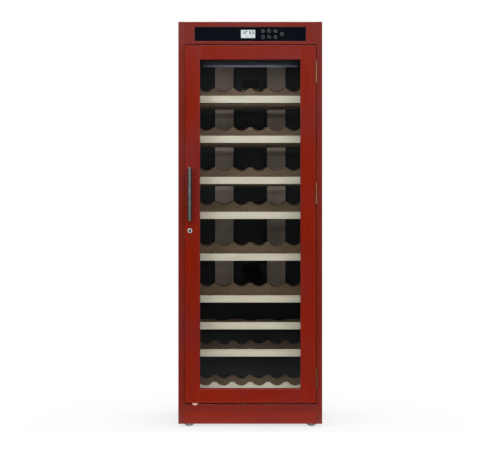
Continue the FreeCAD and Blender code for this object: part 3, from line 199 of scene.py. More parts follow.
def lacquered_mahogany(name, grain, red, plum, deep):
    """Stained lacquered mahogany, edges lighter as wear and painted highlight; grain is its fibres' axis.
    """
    material, tree = new_finish(name)
    place = add(tree, "ShaderNodeTexCoord").outputs["Object"]
    fibre_run = tuple(GRAIN_STRETCH if axis == grain else 1.0 for axis in "xyz")
    cloud_run = tuple(CLOUD_STRETCH if axis == grain else 1.0 for axis in "xyz")
    fibres = add(tree, "ShaderNodeVectorMath", {0: place, 1: fibre_run}, operation="MULTIPLY").outputs[0]
    slow = add(tree, "ShaderNodeVectorMath", {0: place, 1: cloud_run}, operation="MULTIPLY").outputs[0]
    clouds = add(tree, "ShaderNodeTexNoise", {
        "Vector": slow, "Scale": scale_for(CLOUD), "Detail": 2.0}).outputs[0]
    ribbons = add(tree, "ShaderNodeTexNoise", {
        "Vector": fibres, "Scale": scale_for(RIBBON), "Detail": 4.0}).outputs[0]
    pores = add(tree, "ShaderNodeTexNoise", {
        "Vector": fibres, "Scale": scale_for(PORE), "Detail": 1.0}).outputs[0]
    plum_share = add(tree, "ShaderNodeMapRange", {0: clouds, 1: 0.5, 2: 0.7, 3: 0.0, 4: 0.6}).outputs[0]
    deep_share = add(tree, "ShaderNodeMapRange", {
        0: ribbons, 1: 0.42, 2: 0.75, 3: 0.0, 4: 0.35}).outputs[0]
    pore_share = add(tree, "ShaderNodeMapRange", {0: pores, 1: 0.6, 2: 0.72, 3: 0.0, 4: 0.3}).outputs[0]
    stain = add(tree, "ShaderNodeMix", {
        0: plum_share, 6: linear(red), 7: linear(plum)}, data_type="RGBA").outputs[2]
    figure = add(tree, "ShaderNodeMix", {
        0: deep_share, 6: stain, 7: linear(deep)}, data_type="RGBA").outputs[2]
    wood = add(tree, "ShaderNodeMix", {
        0: pore_share, 6: figure, 7: linear(deep)}, data_type="RGBA").outputs[2]
    # Wear and painted highlight: a bevel node finds the edges, which get a lighter pink.
    rounded = add(tree, "ShaderNodeBevel", {"Radius": WORN_AND_HIGHLIGHT_RADIUS * MM}, samples=EDGE_SAMPLES).outputs[0]
    true_normal = add(tree, "ShaderNodeNewGeometry").outputs["True Normal"]
    turn = add(tree, "ShaderNodeVectorMath", {
        0: rounded, 1: true_normal}, operation="DOT_PRODUCT").outputs["Value"]
    worn_and_highlight = add(tree, "ShaderNodeMapRange", {0: turn, 1: 0.985, 2: 0.8, 3: 0.0, 4: 0.35}).outputs[0]
    colour = add(tree, "ShaderNodeMix", {
        0: worn_and_highlight, 6: wood, 7: linear(WORN_EDGE_AND_HIGHLIGHT)}, data_type="RGBA").outputs[2]
    faces_up = add(tree, "ShaderNodeSeparateXYZ", {0: true_normal}).outputs["Z"]
    single_coat = add(tree, "ShaderNodeMapRange", {0: faces_up, 1: 0.5, 2: 0.9}).outputs[0]
    rubbed_gloss = add(tree, "ShaderNodeMapRange", {
        0: clouds, 1: 0.3, 2: 0.7, 3: 0.18, 4: 0.28}).outputs[0]
    gloss = add(tree, "ShaderNodeMix", {0: single_coat, 2: rubbed_gloss, 3: SATIN_ROUGHNESS}).outputs[0]
    specular = add(tree, "ShaderNodeMapRange", {0: single_coat, 3: 0.25, 4: 0.12}).outputs[0]
    coat = add(tree, "ShaderNodeMapRange", {0: single_coat, 3: 0.3, 4: 0.0}).outputs[0]
    hollow = add(tree, "ShaderNodeBump", {
        "Strength": 0.12, "Distance": 0.2 * MM, "Height": pores}).outputs[0]
    shader = add(tree, "ShaderNodeBsdfPrincipled", {
        "Base Color": colour, "Roughness": gloss, "Normal": hollow, "IOR": 1.5,
        "Specular IOR Level": specular, "Coat Weight": coat, "Coat Roughness": 0.08,
        "Coat IOR": 1.5}).outputs[0]
    add(tree, "ShaderNodeOutputMaterial", {"Surface": shader})
    return material


# %% Dress the case and the door frame
DOOR_TINTS = ("#811B05", "#721B1C", "#5E0F06")
CASE_TINTS = ("#762114", "#681F24", "#50110B")
door_upright = lacquered_mahogany("lacquered_mahogany_door_upright", "z", *DOOR_TINTS)
door_level = lacquered_mahogany("lacquered_mahogany_door_level", "x", *DOOR_TINTS)
case_upright = lacquered_mahogany("lacquered_mahogany_case_upright", "z", *CASE_TINTS)
case_level = lacquered_mahogany("lacquered_mahogany_case_level", "x", *CASE_TINTS)
case_deep = lacquered_mahogany("lacquered_mahogany_case_top", "y", *CASE_TINTS)
dress(door_upright, "door_stile_left", "door_stile_right", "glazing_beads")
dress(door_level, "door_rail_top", "door_rail_bottom", "plinth")
dress(case_upright, "left_side_panel", "right_side_panel")
dress(case_level, "control_rail", "base_rail")
dress(case_deep, "top_panel")
print("mahogany on", len(dressed), "nodes")

# %% [markdown]
# ## Planed beech
# Shelf fronts, cradles and the fixed rack are pale beech: planed, sanded and given one coat of
# satin varnish. Beech shows a cream ground, slow pinkish and grey streaks along the board, and the
# short darker flecks that name the timber. The flecks are 1 to 3 mm long in life and are drawn a
# little coarser. Behind the front board the cradles sit in the shade of the shelf above: their
# colour is darkened to a brown there as painted shade, so that only the board shows as a bright
# line, and the painted shade simply starts at the depth where the board ends. The uprights at the
# rear are the same timber, steamed, which turns it pinker.

# %% Make the beech finish
STREAK = 9
FLECK = 2.5
BLUSH = 120
BEECH_STRETCH = 0.06
FLECK_STRETCH = 0.3
# A brown multiplied into the timber behind the front board, as painted shade for the cradles.
PAINTED_SHADE_BROWN = "#766150"
SHADE_FADE = 0.5


def planed_beech(name, grain, cream, pink, streak, shaded_from):
    """Beech with a satin varnish along its grain axis, darkened as painted shade behind a depth in metres.
    """
    material, tree = new_finish(name)
    place = add(tree, "ShaderNodeTexCoord").outputs["Object"]
    fibre_run = tuple(BEECH_STRETCH if axis == grain else 1.0 for axis in "xyz")
    fleck_run = tuple(FLECK_STRETCH if axis == grain else 1.0 for axis in "xyz")
    fibres = add(tree, "ShaderNodeVectorMath", {0: place, 1: fibre_run}, operation="MULTIPLY").outputs[0]
    short = add(tree, "ShaderNodeVectorMath", {0: place, 1: fleck_run}, operation="MULTIPLY").outputs[0]
    slow = add(tree, "ShaderNodeTexNoise", {
        "Vector": place, "Scale": scale_for(BLUSH), "Detail": 1.0}).outputs[0]
    bands = add(tree, "ShaderNodeTexNoise", {
        "Vector": fibres, "Scale": scale_for(STREAK), "Detail": 4.0}).outputs[0]
    flecks = add(tree, "ShaderNodeTexNoise", {
        "Vector": short, "Scale": scale_for(FLECK), "Detail": 0.0}).outputs[0]
    pink_share = add(tree, "ShaderNodeMapRange", {0: slow, 1: 0.4, 2: 0.62, 3: 0.0, 4: 0.7}).outputs[0]
    band_share = add(tree, "ShaderNodeMapRange", {0: bands, 1: 0.42, 2: 0.72, 3: 0.0, 4: 0.5}).outputs[0]
    fleck_share = add(tree, "ShaderNodeMapRange", {
        0: flecks, 1: 0.66, 2: 0.76, 3: 0.0, 4: 0.5}).outputs[0]
    ground = add(tree, "ShaderNodeMix", {
        0: pink_share, 6: linear(cream), 7: linear(pink)}, data_type="RGBA").outputs[2]
    board = add(tree, "ShaderNodeMix", {
        0: band_share, 6: ground, 7: linear(streak)}, data_type="RGBA").outputs[2]
    timber = add(tree, "ShaderNodeMix", {
        0: fleck_share, 6: board, 7: linear(streak)}, data_type="RGBA").outputs[2]
    # Painted shade: past the given depth the timber is multiplied by a brown, so the cradles look shaded.
    depth = add(tree, "ShaderNodeSeparateXYZ", {0: place}).outputs["Y"]
    shade_share = add(tree, "ShaderNodeMapRange", {
        0: depth, 1: shaded_from, 2: shaded_from + SHADE_FADE * MM, 3: 0.0, 4: 1.0}).outputs[0]
    shaded = add(tree, "ShaderNodeMix", {
        0: 1.0, 6: timber, 7: linear(PAINTED_SHADE_BROWN)}, data_type="RGBA", blend_type="MULTIPLY").outputs[2]
    colour = add(tree, "ShaderNodeMix", {
        0: shade_share, 6: timber, 7: shaded}, data_type="RGBA").outputs[2]
    satin = add(tree, "ShaderNodeMapRange", {0: bands, 1: 0.3, 2: 0.7, 3: 0.42, 4: 0.58}).outputs[0]
    raised = add(tree, "ShaderNodeBump", {
        "Strength": 0.2, "Distance": 0.2 * MM, "Height": bands}).outputs[0]
    shader = add(tree, "ShaderNodeBsdfPrincipled", {
        "Base Color": colour, "Roughness": satin, "Normal": raised, "IOR": 1.5,
        "Specular IOR Level": 0.4}).outputs[0]
    add(tree, "ShaderNodeOutputMaterial", {"Surface": shader})
    return material


# %% Dress the shelves, the rack and the uprights
BOARD_THICKNESS = 20 * MM
PALE_TINTS = ("#E5DBC8", "#E3D2C3", "#D0C1A9")
STEAMED_TINTS = ("#E2CDBD", "#DABFB1", "#BFA599")

# The painted shade on the cradles starts where the front board ends.
board_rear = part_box("shelf_1")[0][1] + BOARD_THICKNESS
rear_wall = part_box("inner_liner")[1][1]
shelf_beech = planed_beech("planed_beech_satin_varnish", "x", *PALE_TINTS, board_rear)
steamed_beech = planed_beech("steamed_beech_satin_varnish", "z", *STEAMED_TINTS, rear_wall)
dress(shelf_beech, "bottom_rack", *SHELVES)
dress(steamed_beech, "back_uprights")
print("beech on", len(SHELVES) + 2, "nodes, stained from y", round(board_rear, 4))

# %% [markdown]
# ## Moulded plastics
# The liner of the cold room is dark ABS, vacuum formed over a textured mould, so it is matt with a
# leathery grain of about a millimetre. Small parts such as the fan and the inlet are injection
# moulded and spark eroded in the mould, which leaves a finer, drier grain. One recipe serves both,
# with its own colour and grain size: two noises lift the surface and vary the gloss, and a slow
# noise leaves the faint grey haze that handling and dust give to dark plastic.

# %% Make the plastics
HAZE_CLOUD = 70


def moulded_plastic(name, colour, haze, grain, rough):
    """Moulded plastic with a mould grain in millimetres and a faint haze from handling."""
    material, tree = new_finish(name)
    place = add(tree, "ShaderNodeTexCoord").outputs["Object"]
    grains = add(tree, "ShaderNodeTexVoronoi", {
        "Vector": place, "Scale": scale_for(grain)}).outputs["Distance"]
    dust = add(tree, "ShaderNodeTexNoise", {
        "Vector": place, "Scale": scale_for(HAZE_CLOUD), "Detail": 5.0}).outputs[0]
    haze_share = add(tree, "ShaderNodeMapRange", {0: dust, 1: 0.45, 2: 0.75, 3: 0.0, 4: 0.55}).outputs[0]
    tone = add(tree, "ShaderNodeMix", {
        0: haze_share, 6: linear(colour), 7: linear(haze)}, data_type="RGBA").outputs[2]
    matt = add(tree, "ShaderNodeMapRange", {
        0: dust, 1: 0.3, 2: 0.7, 3: rough - 0.08, 4: rough + 0.08}).outputs[0]
    pits = add(tree, "ShaderNodeBump", {
        "Strength": 0.3, "Distance": 0.1 * MM, "Height": grains}).outputs[0]
    shader = add(tree, "ShaderNodeBsdfPrincipled", {
        "Base Color": tone, "Roughness": matt, "Normal": pits, "IOR": 1.53,
        "Specular IOR Level": 0.4}).outputs[0]
    add(tree, "ShaderNodeOutputMaterial", {"Surface": shader})
    return material


# %% Dress the plastic parts
liner_abs = moulded_plastic("vacuum_formed_abs_liner", "#12161D", "#1E242D", 1.2, 0.5)
black_abs = moulded_plastic("moulded_black_abs", "#17171A", "#2A2A2D", 0.8, 0.55)
tray_plastic = moulded_plastic("moulded_grey_polypropylene", "#2B2C2F", "#3C3D40", 0.8, 0.5)
housing_abs = moulded_plastic("moulded_slate_abs", "#2C333C", "#3A424C", 0.8, 0.5)
glide_acetal = moulded_plastic("moulded_pink_acetal", "#C99A96", "#D6ABA6", 0.8, 0.4)
dress(liner_abs, "inner_liner", "air_duct")
dress(housing_abs, "lamp_housing")
dress(black_abs, "fan_motor", "circulation_fan", "power_inlet", "control_board", "condenser_clips")
dress(tray_plastic, "drip_tray")
dress(glide_acetal, "door_glide")
plastics = [liner_abs, black_abs, tray_plastic, housing_abs, glide_acetal]
print("plastics made:", [plastic.name for plastic in plastics])

# %% [markdown]
# ## Metals
# Chrome on the feet is plated and buffed, so it mirrors the room softly and only faint rubbing
# marks break it; on the lock's ring it is plated over a finely blasted ground, which softens the
# mirror to a satin, and the plug inside it is nickel, turned and darker. The hinges and their
# screws are satin brass, dulled by handling. Sheet steel under the floor and on the runners is
# galvanised and shows crystals of zinc, the spangle, a centimetre across. The handle's strip is
# brushed along its length and anodised. All of them are metal for the shader, with the colour in
# the reflection; what differs is how rough they are and which way the marks run.

# %% Make the plain metals
TARNISH = 18


def worked_metal(name, colour, dull, mark, rough, run=(1.0, 1.0, 1.0)):
    """Metal with tool or rubbing marks: mark is their width in millimetres, run stretches them."""
    material, tree = new_finish(name)
    place = add(tree, "ShaderNodeTexCoord").outputs["Object"]
    drawn = add(tree, "ShaderNodeVectorMath", {0: place, 1: run}, operation="MULTIPLY").outputs[0]
    marks = add(tree, "ShaderNodeTexNoise", {
        "Vector": drawn, "Scale": scale_for(mark), "Detail": 3.0}).outputs[0]
    stains = add(tree, "ShaderNodeTexNoise", {
        "Vector": place, "Scale": scale_for(TARNISH), "Detail": 4.0}).outputs[0]
    dull_share = add(tree, "ShaderNodeMapRange", {0: stains, 1: 0.45, 2: 0.7, 3: 0.0, 4: 0.7}).outputs[0]
    tone = add(tree, "ShaderNodeMix", {
        0: dull_share, 6: linear(colour), 7: linear(dull)}, data_type="RGBA").outputs[2]
    gloss = add(tree, "ShaderNodeMapRange", {
        0: marks, 1: 0.3, 2: 0.7, 3: rough * 0.7, 4: rough * 1.3}).outputs[0]
    lines = add(tree, "ShaderNodeBump", {
        "Strength": 0.08, "Distance": 0.05 * MM, "Height": marks}).outputs[0]
    shader = add(tree, "ShaderNodeBsdfPrincipled", {
        "Base Color": tone, "Metallic": 1.0, "Roughness": gloss, "Normal": lines}).outputs[0]
    add(tree, "ShaderNodeOutputMaterial", {"Surface": shader})
    return material


# %% Make the galvanised steel
SPANGLE = 11

galvanised, zinc_tree = new_finish("galvanised_sheet_steel")
zinc_place = add(zinc_tree, "ShaderNodeTexCoord").outputs["Object"]
crystals = add(zinc_tree, "ShaderNodeTexVoronoi", {"Vector": zinc_place, "Scale": scale_for(SPANGLE)})
crystal_tone = add(zinc_tree, "ShaderNodeSeparateColor", {"Color": crystals.outputs["Color"]}).outputs[0]
zinc_colour = add(zinc_tree, "ShaderNodeMix", {
    0: crystal_tone, 6: linear("#8E9296"), 7: linear("#B2B6BA")}, data_type="RGBA").outputs[2]
zinc_gloss = add(zinc_tree, "ShaderNodeMapRange", {0: crystal_tone, 3: 0.34, 4: 0.52}).outputs[0]
zinc_shader = add(zinc_tree, "ShaderNodeBsdfPrincipled", {
    "Base Color": zinc_colour, "Metallic": 1.0, "Roughness": zinc_gloss}).outputs[0]
add(zinc_tree, "ShaderNodeOutputMaterial", {"Surface": zinc_shader})
print("zinc crystals of", SPANGLE, "mm")

# %% Dress the metal parts
LENGTHWISE = (1.0, 1.0, 0.02)
chrome = worked_metal("buffed_chrome_plate", "#ECEEF0", "#DADCDF", 3.0, 0.2)
satin_chrome = worked_metal("satin_chrome_plate", "#E6E6E8", "#D2D2D5", 0.4, 0.38)
plug_nickel = worked_metal("turned_nickel_lock_plug", "#77777B", "#5E5E62", 0.4, 0.3)
brass = worked_metal("satin_brass_hinge", "#8A6541", "#6C4B31", 1.5, 0.36)
zinc_plate = worked_metal("zinc_plated_steel", "#A4A7AB", "#85888C", 0.5, 0.32)
inlay_metal = worked_metal("brushed_anodised_aluminium", "#969C97", "#8C928D", 0.4, 0.3, LENGTHWISE)
fin_metal = worked_metal("mill_finish_aluminium_fins", "#B9BDC0", "#9CA0A3", 1.5, 0.4, LENGTHWISE)
spacer_metal = worked_metal("black_anodised_aluminium", "#2A2C2F", "#1E2023", 1.5, 0.4, LENGTHWISE)
dress(chrome, "foot_front_left", "foot_front_right", "rear_feet")
dress(satin_chrome, "lock_housing")
dress(plug_nickel, "lock_plug")
dress(brass, "hinge_frame_leaves", "hinge_door_leaves", "hinge_pins", "case_screws", "door_screws")
dress(zinc_plate, "lock_cam", "lock_strike")
dress(inlay_metal, "handle_inlay")
dress(fin_metal, "evaporator")
dress(spacer_metal, "glass_spacer")
dress(galvanised, "underfloor_pan", "shelf_runners")
plates = [chrome, satin_chrome, plug_nickel, zinc_plate, galvanised]
metals = plates + [brass, inlay_metal, fin_metal, spacer_metal]
print("metals made:", [metal.name for metal in metals])

# %% [markdown]
# ## Painted parts
# The handle bar is aluminium with a black powder coat: the powder melts in the oven and flows into
# a skin with a slight orange peel. The compressor and the condenser wear a thicker black enamel,
# dipped and baked, with more gloss. The back and base boards are hardboard rolled with a dark
# paint that leaves short ridges. One recipe gives all three, because each is a colour under a
# wavy skin: what changes is the size of the wave, the gloss, and how far the edges have lost paint.

# %% Make the paints
DUST_CLOUD = 55
CHIPPED_EDGE = 1.0


def painted_skin(name, colour, worn, wave, rough, lift):
    """A paint or powder skin; wave is the width of its ripples in millimetres, lift their strength."""
    material, tree = new_finish(name)
    place = add(tree, "ShaderNodeTexCoord").outputs["Object"]
    ripple = add(tree, "ShaderNodeTexNoise", {
        "Vector": place, "Scale": scale_for(wave), "Detail": 1.0}).outputs[0]
    dust = add(tree, "ShaderNodeTexNoise", {
        "Vector": place, "Scale": scale_for(DUST_CLOUD), "Detail": 5.0}).outputs[0]
    dust_share = add(tree, "ShaderNodeMapRange", {0: dust, 1: 0.48, 2: 0.75, 3: 0.0, 4: 0.5}).outputs[0]
    tone = add(tree, "ShaderNodeMix", {
        0: dust_share, 6: linear(colour), 7: linear(worn)}, data_type="RGBA").outputs[2]
    rounded = add(tree, "ShaderNodeBevel", {
        "Radius": CHIPPED_EDGE * MM}, samples=EDGE_SAMPLES).outputs[0]
    true_normal = add(tree, "ShaderNodeNewGeometry").outputs["True Normal"]
    turn = add(tree, "ShaderNodeVectorMath", {
        0: rounded, 1: true_normal}, operation="DOT_PRODUCT").outputs["Value"]
    chipped = add(tree, "ShaderNodeMapRange", {0: turn, 1: 0.97, 2: 0.75, 3: 0.0, 4: 0.4}).outputs[0]
    paint = add(tree, "ShaderNodeMix", {
        0: chipped, 6: tone, 7: linear(worn)}, data_type="RGBA").outputs[2]
    gloss = add(tree, "ShaderNodeMapRange", {
        0: dust, 1: 0.3, 2: 0.7, 3: rough - 0.06, 4: rough + 0.1}).outputs[0]
    peel = add(tree, "ShaderNodeBump", {
        "Strength": lift, "Distance": 0.1 * MM, "Height": ripple}).outputs[0]
    shader = add(tree, "ShaderNodeBsdfPrincipled", {
        "Base Color": paint, "Roughness": gloss, "Normal": peel, "IOR": 1.5,
        "Specular IOR Level": 0.45}).outputs[0]
    add(tree, "ShaderNodeOutputMaterial", {"Surface": shader})
    return material


# %% Dress the painted parts
handle_powder = painted_skin("black_powder_coated_aluminium", "#050505", "#100E0F", 1.5, 0.16, 0.25)
machine_enamel = painted_skin("baked_black_enamel", "#131416", "#2A2B2D", 4.0, 0.28, 0.2)
board_paint = painted_skin("rolled_paint_on_hardboard", "#332D2A", "#4A433E", 2.5, 0.6, 0.35)
dress(handle_powder, "handle_bar")
dress(machine_enamel, "compressor", "condenser")
dress(board_paint, "back_panel", "base_panel")
print("paints made:", handle_powder.name, machine_enamel.name, board_paint.name)

# %% [markdown]
# ## Rubber and foam
# The door gasket and the compressor's feet are extruded EPDM rubber: black, dull, with a grey
# bloom that comes out of the rubber as it ages. Behind the liner the walls are filled with
# polyurethane foam, poured in place, whose cells of about 2 mm show wherever it is cut.

# %% Make and dress rubber and foam
BLOOM_CLOUD = 25
FOAM_CELL = 2.0

rubber, rubber_tree = new_finish("extruded_epdm_rubber")
rubber_place = add(rubber_tree, "ShaderNodeTexCoord").outputs["Object"]
bloom = add(rubber_tree, "ShaderNodeTexNoise", {
    "Vector": rubber_place, "Scale": scale_for(BLOOM_CLOUD), "Detail": 5.0}).outputs[0]
bloom_share = add(rubber_tree, "ShaderNodeMapRange", {
    0: bloom, 1: 0.42, 2: 0.72, 3: 0.0, 4: 0.7}).outputs[0]
rubber_colour = add(rubber_tree, "ShaderNodeMix", {
    0: bloom_share, 6: linear("#1A1A1B"), 7: linear("#323233")}, data_type="RGBA").outputs[2]
rubber_matt = add(rubber_tree, "ShaderNodeMapRange", {
    0: bloom, 1: 0.3, 2: 0.7, 3: 0.6, 4: 0.8}).outputs[0]
rubber_shader = add(rubber_tree, "ShaderNodeBsdfPrincipled", {
    "Base Color": rubber_colour, "Roughness": rubber_matt, "IOR": 1.52,
    "Specular IOR Level": 0.35}).outputs[0]
add(rubber_tree, "ShaderNodeOutputMaterial", {"Surface": rubber_shader})

foam, foam_tree = new_finish("poured_polyurethane_foam")
foam_place = add(foam_tree, "ShaderNodeTexCoord").outputs["Object"]
cells = add(foam_tree, "ShaderNodeTexVoronoi", {
    "Vector": foam_place, "Scale": scale_for(FOAM_CELL)}).outputs["Distance"]
cell_share = add(foam_tree, "ShaderNodeMapRange", {0: cells, 1: 0.1, 2: 0.8}).outputs[0]
foam_colour = add(foam_tree, "ShaderNodeMix", {
    0: cell_share, 6: linear("#D9C27A"), 7: linear("#BFA65C")}, data_type="RGBA").outputs[2]
foam_pits = add(foam_tree, "ShaderNodeBump", {
    "Strength": 0.5, "Distance": 0.5 * MM, "Height": cells}).outputs[0]
foam_shader = add(foam_tree, "ShaderNodeBsdfPrincipled", {
    "Base Color": foam_colour, "Roughness": 0.9, "Normal": foam_pits, "IOR": 1.5}).outputs[0]
add(foam_tree, "ShaderNodeOutputMaterial", {"Surface": foam_shader})
dress(rubber, "door_gasket", "compressor_mounts")
dress(foam, "foam_insulation")
print("rubber and foam made")

# %% [markdown]
# ## Glass
# The door holds two panes of clear float glass. A full glass shader would bend light correctly but
# would also keep the lamps out of the cold room, because light through bent glass is hard to
# follow. A pane is flat, so bending hardly matters: here it lets light straight through and adds
# the mirror image that Fresnel's law gives, weak when seen straight on and strong at a slant. A
# slow noise makes that mirror a little less sharp where the glass was last wiped. The control
# panel is another glass: toughened, with black paint baked on its rear face, so the eye sees a
# deep, slightly blue black under a polished surface with faint fingertip smears.

# %% Make the door glass
WIPE = 140
PANE_IOR = 1.28

float_glass, pane_tree = new_finish("clear_float_glass")
pane_place = add(pane_tree, "ShaderNodeTexCoord").outputs["Object"]
wiped = add(pane_tree, "ShaderNodeTexNoise", {
    "Vector": pane_place, "Scale": scale_for(WIPE), "Detail": 3.0}).outputs[0]
pane_gloss = add(pane_tree, "ShaderNodeMapRange", {
    0: wiped, 1: 0.35, 2: 0.7, 3: 0.02, 4: 0.05}).outputs[0]
pane_tint = add(pane_tree, "ShaderNodeMix", {
    0: wiped, 6: linear("#FDFFFE"), 7: linear("#FFFFFF")}, data_type="RGBA").outputs[2]
mirrored = add(pane_tree, "ShaderNodeFresnel", {"IOR": PANE_IOR}).outputs[0]
clear_way = add(pane_tree, "ShaderNodeBsdfTransparent", {"Color": pane_tint}).outputs[0]
mirror = add(pane_tree, "ShaderNodeBsdfGlossy", {"Roughness": pane_gloss}).outputs[0]
pane = add(pane_tree, "ShaderNodeMixShader", {0: mirrored, 1: clear_way, 2: mirror}).outputs[0]
add(pane_tree, "ShaderNodeOutputMaterial", {"Surface": pane})
dress(float_glass, "glass_panes")
print("door glass:", float_glass.name)

# %% Make the control glass
SMEAR = 22

black_glass, panel_tree = new_finish("back_painted_toughened_glass")
panel_place = add(panel_tree, "ShaderNodeTexCoord").outputs["Object"]
smears = add(panel_tree, "ShaderNodeTexNoise", {
    "Vector": panel_place, "Scale": scale_for(SMEAR), "Detail": 4.0}).outputs[0]
smear_share = add(panel_tree, "ShaderNodeMapRange", {
    0: smears, 1: 0.5, 2: 0.75, 3: 0.0, 4: 0.3}).outputs[0]
panel_colour = add(panel_tree, "ShaderNodeMix", {
    0: smear_share, 6: linear("#070A11"), 7: linear("#0E131B")}, data_type="RGBA").outputs[2]
panel_gloss = add(panel_tree, "ShaderNodeMapRange", {
    0: smears, 1: 0.4, 2: 0.75, 3: 0.06, 4: 0.1}).outputs[0]
panel_shader = add(panel_tree, "ShaderNodeBsdfPrincipled", {
    "Base Color": panel_colour, "Roughness": panel_gloss, "IOR": 1.52,
    "Specular IOR Level": 0.4}).outputs[0]
add(panel_tree, "ShaderNodeOutputMaterial", {"Surface": panel_shader})
dress(black_glass, "control_glass")
print("control glass:", black_glass.name)

# %% [markdown]
# ## Parts that glow
# The display is a liquid crystal screen over a white light sheet: pale, even, with a grid of fine
# pixel rows. The lamp under the ceiling is a strip of small diodes behind opal acrylic, which
# smears them into one soft band with slightly brighter spots every two centimetres or so; the
# strip is shorter than its cover, so the band fades towards both ends. Both glow only as much as
# they need to look lit, because the room is bright. Rows and spots come from the wave texture,
# whose own wave at a scale of one is a twentieth of a full turn long, so the scale allows for that.

# %% Make the display and the lamp
PIXEL_ROW = 1.2
DIODE_GAP = 22
WAVE = 2 * math.pi / 20
BACKLIGHT_CLOUD = 25
STRIP_HALF = 100 * MM
COVER_HALF = 230 * MM

screen, screen_tree = new_finish("backlit_liquid_crystal_screen")
screen_place = add(screen_tree, "ShaderNodeTexCoord").outputs["Object"]
rows = add(screen_tree, "ShaderNodeTexWave", {
    "Vector": screen_place, "Scale": scale_for(PIXEL_ROW) * WAVE, "Distortion": 0.0},
    bands_direction="Z").outputs["Fac"]
screen_cloud = add(screen_tree, "ShaderNodeTexNoise", {
    "Vector": screen_place, "Scale": scale_for(BACKLIGHT_CLOUD), "Detail": 2.0}).outputs[0]
row_share = add(screen_tree, "ShaderNodeMath", {
    0: rows, 1: screen_cloud}, operation="MULTIPLY").outputs[0]
screen_colour = add(screen_tree, "ShaderNodeMix", {
    0: row_share, 6: linear("#C5D0D2"), 7: linear("#B6C1C5")}, data_type="RGBA").outputs[2]
screen_shader = add(screen_tree, "ShaderNodeBsdfPrincipled", {
    "Base Color": screen_colour, "Roughness": 0.25, "IOR": 1.5, "Emission Color": screen_colour,
    "Emission Strength": 0.1}).outputs[0]
add(screen_tree, "ShaderNodeOutputMaterial", {"Surface": screen_shader})

opal, opal_tree = new_finish("opal_acrylic_diffuser")
opal_place = add(opal_tree, "ShaderNodeTexCoord").outputs["Object"]
spots = add(opal_tree, "ShaderNodeTexWave", {
    "Vector": opal_place, "Scale": scale_for(DIODE_GAP) * WAVE, "Distortion": 0.0},
    bands_direction="X").outputs["Fac"]
opal_x = add(opal_tree, "ShaderNodeSeparateXYZ", {0: opal_place}).outputs["X"]
from_middle = add(opal_tree, "ShaderNodeMath", {0: opal_x}, operation="ABSOLUTE").outputs[0]
unlit = add(opal_tree, "ShaderNodeMapRange", {
    0: from_middle, 1: STRIP_HALF, 2: COVER_HALF, 3: 0.0, 4: 0.8}).outputs[0]
opal_band = add(opal_tree, "ShaderNodeMix", {
    0: spots, 6: linear("#77748C"), 7: linear("#8E8BA2")}, data_type="RGBA").outputs[2]
opal_glow = add(opal_tree, "ShaderNodeMix", {
    0: unlit, 6: opal_band, 7: linear("#3C3D4A")}, data_type="RGBA").outputs[2]
opal_shader = add(opal_tree, "ShaderNodeBsdfPrincipled", {
    "Base Color": opal_glow, "Roughness": 0.45, "IOR": 1.49, "Emission Color": opal_glow,
    "Emission Strength": 0.15}).outputs[0]
add(opal_tree, "ShaderNodeOutputMaterial", {"Surface": opal_shader})
dress(screen, "display_screen")
dress(opal, "lamp_diffuser")
print("nodes dressed:", len(dressed), "of", len(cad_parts))

# %% [markdown]
# ## Printed marks on the control panel
# Touch keys have no moving parts: each is a thin ring of pale ink printed on the glass with a
# small sign in it. The signs here are the common ones for such a panel: up, down, cold, time,
# lamp, light and power. They could be painted in a texture, but a mark with sharp edges at any
# distance is better as a mesh. Each shape is drawn as flat faces in the plane of the glass, faces
# that share points are joined, and the whole drawing is given the thickness of a print.

# %% A drawing in the plane of the glass becomes a thin mesh
INK = 0.15
SAME_POINT = 0.005


def printed_layer(name, faces, front):
    """Makes thin closed shapes from flat faces, each a loop of (x, z) points in millimetres."""
    drawing = bmesh.new()
    for loop in faces:
        drawing.faces.new([drawing.verts.new((x * MM, front - INK * MM, z * MM)) for x, z in loop])
    bmesh.ops.remove_doubles(drawing, verts=drawing.verts[:], dist=SAME_POINT * MM)
    grown = bmesh.ops.extrude_face_region(drawing, geom=drawing.faces[:])
    rear = [item for item in grown["geom"] if isinstance(item, bmesh.types.BMVert)]
    bmesh.ops.translate(drawing, verts=rear, vec=(0.0, INK * MM, 0.0))
    bmesh.ops.recalc_face_normals(drawing, faces=drawing.faces[:])
    open_edges = sum(1 for edge in drawing.edges if len(edge.link_faces) != 2)
    mesh = bpy.data.meshes.new(name)
    drawing.to_mesh(mesh)
    drawing.free()
    piece = bpy.data.objects.new(name, mesh)
    scene.collection.objects.link(piece)
    print(name, "faces:", len(mesh.polygons), "open edges:", open_edges)
    return piece


# %% Strokes and arcs for the signs
STROKE = 0.75
ARC_STEPS = 28


def stroke(start, end, width=STROKE):
    """One straight stroke as a four-sided face."""
    run = (end[0] - start[0], end[1] - start[1])
    half = width / 2 / math.hypot(*run)
    side = (-run[1] * half, run[0] * half)
    return [
        (start[0] + side[0], start[1] + side[1]),
        (start[0] - side[0], start[1] - side[1]),
        (end[0] - side[0], end[1] - side[1]),
        (end[0] + side[0], end[1] + side[1]),
    ]


def arc(centre, radius, start, end, width=STROKE):
    """A band along part of a circle, as faces that share their points; angles in degrees."""
    rims = []
    for step in range(ARC_STEPS + 1):
        angle = math.radians(start + (end - start) * step / ARC_STEPS)
        ray = (math.cos(angle), math.sin(angle))
        reaches = (radius - width / 2, radius + width / 2)
        rims.append([(centre[0] + ray[0] * r, centre[1] + ray[1] * r) for r in reaches])
    return [[low[0], low[1], high[1], high[0]] for low, high in zip(rims, rims[1:])]


# %% Signs made of rays and arrow heads
ARROW_HALF = 4.0
ARROW_TIP = 2.6
ARROW_FOOT = -2.0
ARROW_THICK = 1.6


